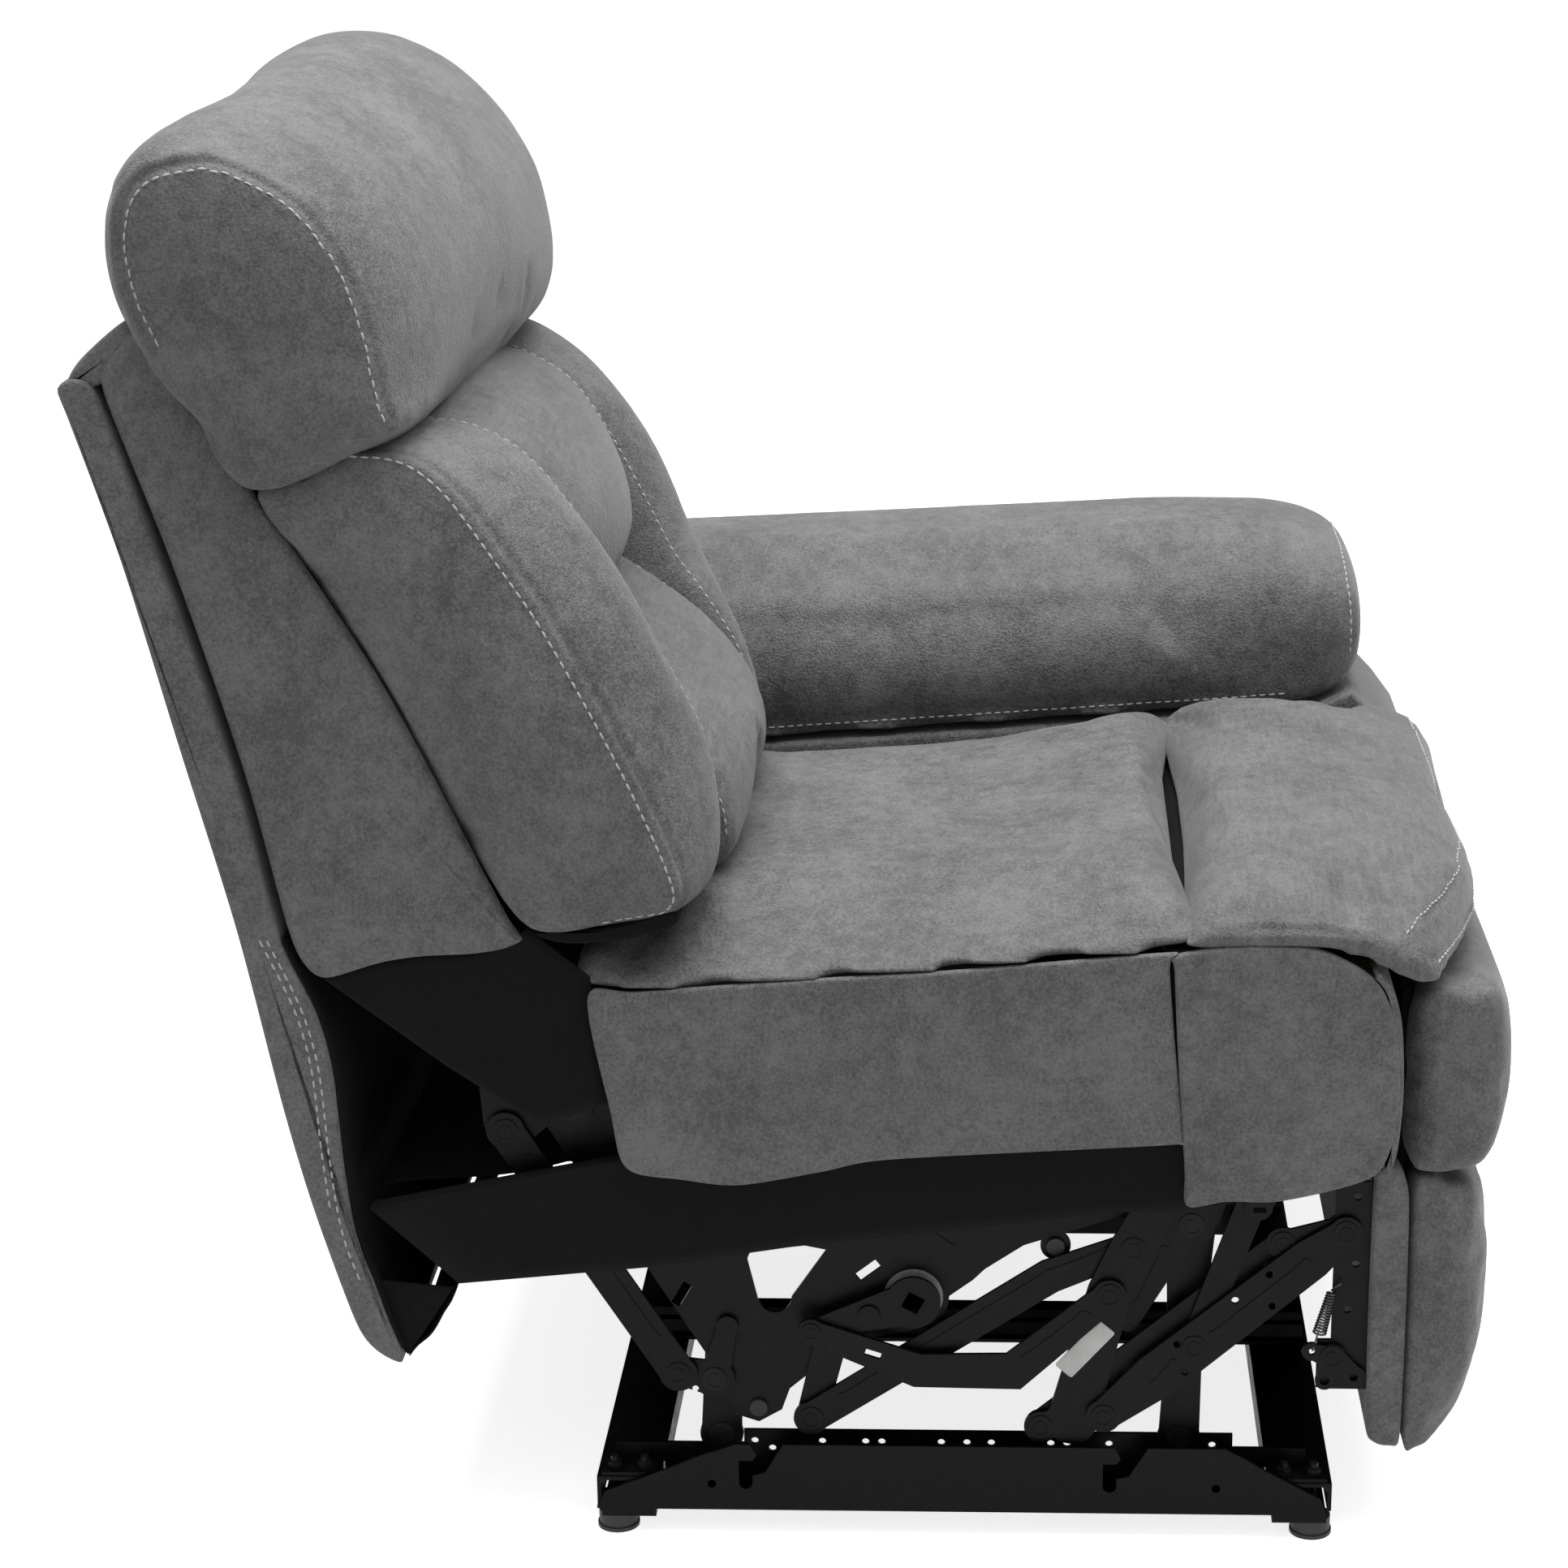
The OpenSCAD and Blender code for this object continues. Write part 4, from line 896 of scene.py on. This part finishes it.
def footrest_pads():
    """Wrapped footrest board with its pad, and the bulging pad above it."""
    x0, x1 = 0.0, FAR_RAIL
    for name, node, points, seam in (("front_roll", "front_pad", FRONT_PAD, FRONT_SEAM),
                                     ("rest_pad", "footrest_pad", REST_PAD, REST_SEAM)):
        outline = spline(points, 110)
        out = normals(outline)
        forward = np.clip((-336 - outline[:, :1]) / 14, 0, 1)
        rings = []
        for t in np.r_[0, 0.004, 0.012, 0.025, np.linspace(0.045, 0.955, 25), 0.975, 0.988,
                       0.996, 1]:
            edge = min(t, 1 - t) * (x1 - x0)
            roll = math.sqrt(max(0.0, 1 - (1 - min(1, edge / 24)) ** 2))
            rings.append((x0 + (x1 - x0) * t, outline + out * (roll - 1) * 14 * forward))
        obj = loft(name, rings, "footrest", dome=(2, 2))
        edges = [line(seam, x) for x in (x0, x1)]
        plump(obj, edges + [line([(-320, 80), (-320, 280)], x) for x in (x0, x1)], cap=5)
        subdivide(obj)
        groove(obj, edges, 2.6, 2.2, 0.5)
        soft(obj, node)
    wrap = spline(REST_WRAP, 100)
    obj = loft("rest_wrap", rounded(wrap, x0 - 1, x1 + 1, 4, 4), "footrest")
    subdivide(obj)
    soft(obj, "footrest_board")
    board = rounded(border_of(BOARD_WRAP, steps=9), 24, FAR_RAIL - 24, 1.5, 3)
    obj = loft("board_wrap", board, "footrest", LINING)


# Outer face of the links in the second layer from the outside
CARRIER_FACE = 8.0
SPRING_LOW, SPRING_TOP = (-257, 164.9), (-265, 197.9)
SPRING_IN = 3.73
SPRING_TURNS = 15
SPRING_WIDE, SPRING_TAPER = 4.5, 1.53
HOOK_EYE, BRACKET_HOLE = (-252.5, 151), (-272, 205)


def springs():
    """Closed-coil latch springs with their straight ends, one on each side."""
    for name, x in (("near_latch_spring", SPRING_IN), ("far_latch_spring", FAR_RAIL - SPRING_IN)):
        turns, steps = SPRING_TURNS, 14
        low, top = Vector(point(x, *SPRING_LOW)), Vector(point(x, *SPRING_TOP))
        axis = (top - low).normalized()
        side = Vector((1, 0, 0))
        front = axis.cross(side)
        path = [point(x, *HOOK_EYE)]
        for i in range(turns * steps + 1):
            t = i / (turns * steps)
            w = math.tau * i / steps
            r = (SPRING_WIDE - SPRING_TAPER * t) * MM
            path.append(low.lerp(top, t) + side * math.cos(w) * r + front * math.sin(w) * r)
        path.append(point(x, *BRACKET_HOLE))
        curve = bpy.data.curves.new(name, "CURVE")
        curve.dimensions = "3D"
        curve.bevel_depth = 0.85 * MM
        curve.bevel_resolution = 2
        curve.use_fill_caps = True
        wire = curve.splines.new("POLY")
        wire.points.add(len(path) - 1)
        for place, q in zip(wire.points, path):
            place.co = (*q, 1)
        curve.materials.append(FINISHES["spring_steel"])
        obj = bpy.data.objects.new(name, curve)
        bpy.context.scene.collection.objects.link(obj)
        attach(obj, "footrest")
        if x == SPRING_IN:
            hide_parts("latch_springs")


def blank_plate():
    """Bare pale plate on the near carrier link's outer face."""
    x = CARRIER_FACE - 0.2
    middle, along = np.array([-88.0, 149.0]), np.array([-0.661, 0.750])
    across = np.array([along[1], -along[0]])
    half_l, half_w = 24, 8
    outline = np.array([middle + along * half_l * sl + across * half_w * sw
                        for sl, sw in ((1, 0.85), (0.95, 1), (-0.95, 1), (-1, 0.85),
                                       (-1, -0.85), (-0.95, -1), (0.95, -1), (1, -0.85))])
    paint = plain("plate_paint", (0.46, 0.46, 0.45), 0.5, 60, 0.05, 0.10)
    obj = loft("blank_plate", [(x - 0.5, outline), (x, outline)], "carrier", paint)


# ---------------------------------------------------------------- arm

def arm_section(width, low, high, count=72):
    """Cross-section of the arm's pillow as (x, z) pairs about its middle."""
    height = high - low
    shape = [(-width / 2 + 8, 0), (-width / 2 + 1, 10), (-width / 2 - 3, height * 0.45),
             (-width / 2 + 10, height * 0.78), (-width * 0.26, height * 0.97),
             (0, height), (width * 0.26, height * 0.97), (width / 2 - 10, height * 0.78),
             (width / 2 + 3, height * 0.45), (width / 2 - 1, 10), (width / 2 - 8, 0),
             (0, -1)]
    return spline(shape, count) + np.array([0, low])


ARM_NOSE = -242


def arm_low(y):
    """Height of the pillow's lower seam."""
    return 434 + (424 - y) * 0.0735


def arm_high(y):
    """Height of the pillow's ridge."""
    return 590 + (424 - y) * 0.0508


def arm_pillow():
    """Fat pillow on top of the arm with a rounded nose."""
    middle = (ARM_X0 + ARM_X1) / 2
    width = ARM_X1 - ARM_X0 - 4
    verts, faces, count = [], [], 72
    stations = []
    for t in np.linspace(0, 1, 26):
        y = 424 + (ARM_NOSE - 424) * t
        stations.append((y, width, arm_low(y), arm_high(y)))
    centre = 551
    for a in np.linspace(0.08, 0.97, 14):
        turn = math.sin(a * math.pi / 2)
        narrow = math.cos(a * math.pi / 2) ** 0.55
        y = ARM_NOSE - 84 * turn
        stations.append((y, width - 60 * (1 - narrow),
                         centre - (centre - arm_low(ARM_NOSE)) * narrow,
                         centre + (arm_high(ARM_NOSE) - centre) * narrow))
    for y, w, low, high in stations:
        for x, z in arm_section(w, low, high):
            verts.append(point(middle + x, y, z))
    for r in range(len(stations) - 1):
        for i in range(count):
            j = (i + 1) % count
            faces.append((r * count + i, r * count + j, (r + 1) * count + j,
                          (r + 1) * count + i))
    for r in (0, len(stations) - 1):
        ring = verts[r * count:(r + 1) * count]
        verts.append(sum(ring, Vector()) / count + Vector((0, -4 * MM if r else 2 * MM, 0)))
        for i in range(count):
            faces.append((r * count + i, r * count + (i + 1) % count, len(verts) - 1))
    obj = mesh_object("arm_pillow", verts, faces, "seat", COVER)
    low_line = [[point(x, y, arm_low(y) + 3) for y in np.linspace(400, -262, 60)]
                for x in (ARM_X0 + 3, ARM_X1 - 3)]
    plump(obj, low_line, cap=9)
    subdivide(obj)
    soft(obj, "arm_pad")
    rows = [[q + Vector((0, 0, 7 * MM)) for q in path] for path in low_line]
    stitches("arm_stitches", rows, obj, "seat")
    nose = [point(middle + x, -315, z) for x, z in arm_section(width - 24, 500, 610)]
    stitches("arm_nose_stitches", [nose[4:64]], obj, "seat")


ARM_SIDE = [(419, 364), (419, 430), (200, 446), (-100, 468), (-280, 481), (-318, 497),
            (-339, 472), (-357, 453), (-375, 429), (-385, 398), (-390, 330), (-388, 80),
            (-378, 63), (0, 62), (360, 62), (372, 76), (410, 300)]


def arm_body():
    """Upholstered body of the arm under its pillow."""
    outline = border_of(ARM_SIDE, pitch=12)
    obj = loft("arm_body", rounded(outline, ARM_X0 + 1, ARM_X1 - 1, 5, 4), "seat", dome=(2, 2))
    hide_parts("arm_cover")


# ---------------------------------------------------------------- room

FLOOR_GLOW = 0.82
WORLD_LIGHT = 0.25
LAMPS = (("key", (-0.3, -1.3, 3.4), 2.2, 72),
         ("side", (-1.8, 0.2, 3.2), 2.4, 14),
         ("top", (0.0, 0.3, 3.4), 2.4, 122))


def shown_rays(tree):
    """One for rays that show the backdrop: camera, glossy and transmission rays."""
    path = tree.nodes.new("ShaderNodeLightPath")
    seen = maths(tree, "MAXIMUM", path.outputs["Is Camera Ray"], path.outputs["Is Glossy Ray"])
    return maths(tree, "MAXIMUM", seen, path.outputs["Is Transmission Ray"])


def room():
    """Plain pale floor, white surroundings and soft studio lamps."""
    bpy.ops.mesh.primitive_plane_add(size=60, location=(0, 0, 0))
    floor = bpy.context.object
    floor.name = "studio_floor"
    material, tree, shader = new_material("pale_floor")
    shader.inputs["Base Color"].default_value = (0.8, 0.8, 0.8, 1)
    shader.inputs["Roughness"].default_value = 0.9
    shader.inputs["Specular IOR Level"].default_value = 0.1
    glow = add(tree, "ShaderNodeEmission", Color=(1, 1, 1, 1))
    tree.links.new(maths(tree, "MULTIPLY", shown_rays(tree), FLOOR_GLOW), glow.inputs["Strength"])
    total = tree.nodes.new("ShaderNodeAddShader")
    tree.links.new(shader.outputs[0], total.inputs[0])
    tree.links.new(glow.outputs[0], total.inputs[1])
    tree.links.new(total.outputs[0], tree.nodes["Material Output"].inputs["Surface"])
    floor.data.materials.append(material)
    world = bpy.data.worlds.new("studio")
    bpy.context.scene.world = world
    world.use_nodes = True
    tree = world.node_tree
    background = tree.nodes["Background"]
    background.inputs["Color"].default_value = (1, 1, 1, 1)
    background.inputs["Strength"].default_value = WORLD_LIGHT
    white = add(tree, "ShaderNodeBackground", Color=(1, 1, 1, 1), Strength=1.0)
    mix = tree.nodes.new("ShaderNodeMixShader")
    tree.links.new(shown_rays(tree), mix.inputs[0])
    tree.links.new(background.outputs[0], mix.inputs[1])
    tree.links.new(white.outputs[0], mix.inputs[2])
    tree.links.new(mix.outputs[0], tree.nodes["World Output"].inputs["Surface"])
    for name, place, size, power in LAMPS:
        lamp = bpy.data.lights.new(name, "AREA")
        lamp.energy = power
        lamp.size = size
        obj = bpy.data.objects.new(name, lamp)
        bpy.context.scene.collection.objects.link(obj)
        obj.location = place
        obj.rotation_euler = (Vector((0, 0, 0.5)) - obj.location).to_track_quat(
            "-Z", "Y").to_euler()


def camera():
    """Long-lens view onto the open side, a little from above."""
    data = bpy.data.cameras.new("view")
    data.sensor_width = 36
    data.lens = 81.7
    data.shift_x = -0.103
    data.shift_y = 0.0077
    data.clip_end = 60
    obj = bpy.data.objects.new("view", data)
    bpy.context.scene.collection.objects.link(obj)
    obj.location = point(-2349, -38, 1289)
    tilt, turn = math.radians(17.0), math.radians(1.25)
    forward = Vector((math.cos(tilt) * math.cos(turn), math.cos(tilt) * math.sin(turn),
                      -math.sin(tilt)))
    obj.rotation_euler = forward.to_track_quat("-Z", "Y").to_euler()
    bpy.context.scene.camera = obj


bpy.context.scene.view_settings.view_transform = "Standard"
camera()
room()
dress_frame()
headrest()
bolster("near_bolster_pad", "near_bolster", BODY_X0 - 8, SEAM_X0, BOLSTER_INNER,
        NEAR_BELLY)
bolster("far_bolster_pad", "far_bolster", BODY_X1, SEAM_X1, FAR_INNER, FAR_BELLY)
middle_cushion("upper_back_pad", "upper_back_cushion", UPPER_MID, UPPER_END, UPPER_SEAM)
middle_cushion("lower_back_pad", "lower_back_cushion", LOWER_MID, LOWER_END, LOWER_SEAM)
outside_back()
seat_cushion()
chaise_pad()
side_cover()
footrest_pads()
springs()
blank_plate()
arm_pillow()
arm_body()
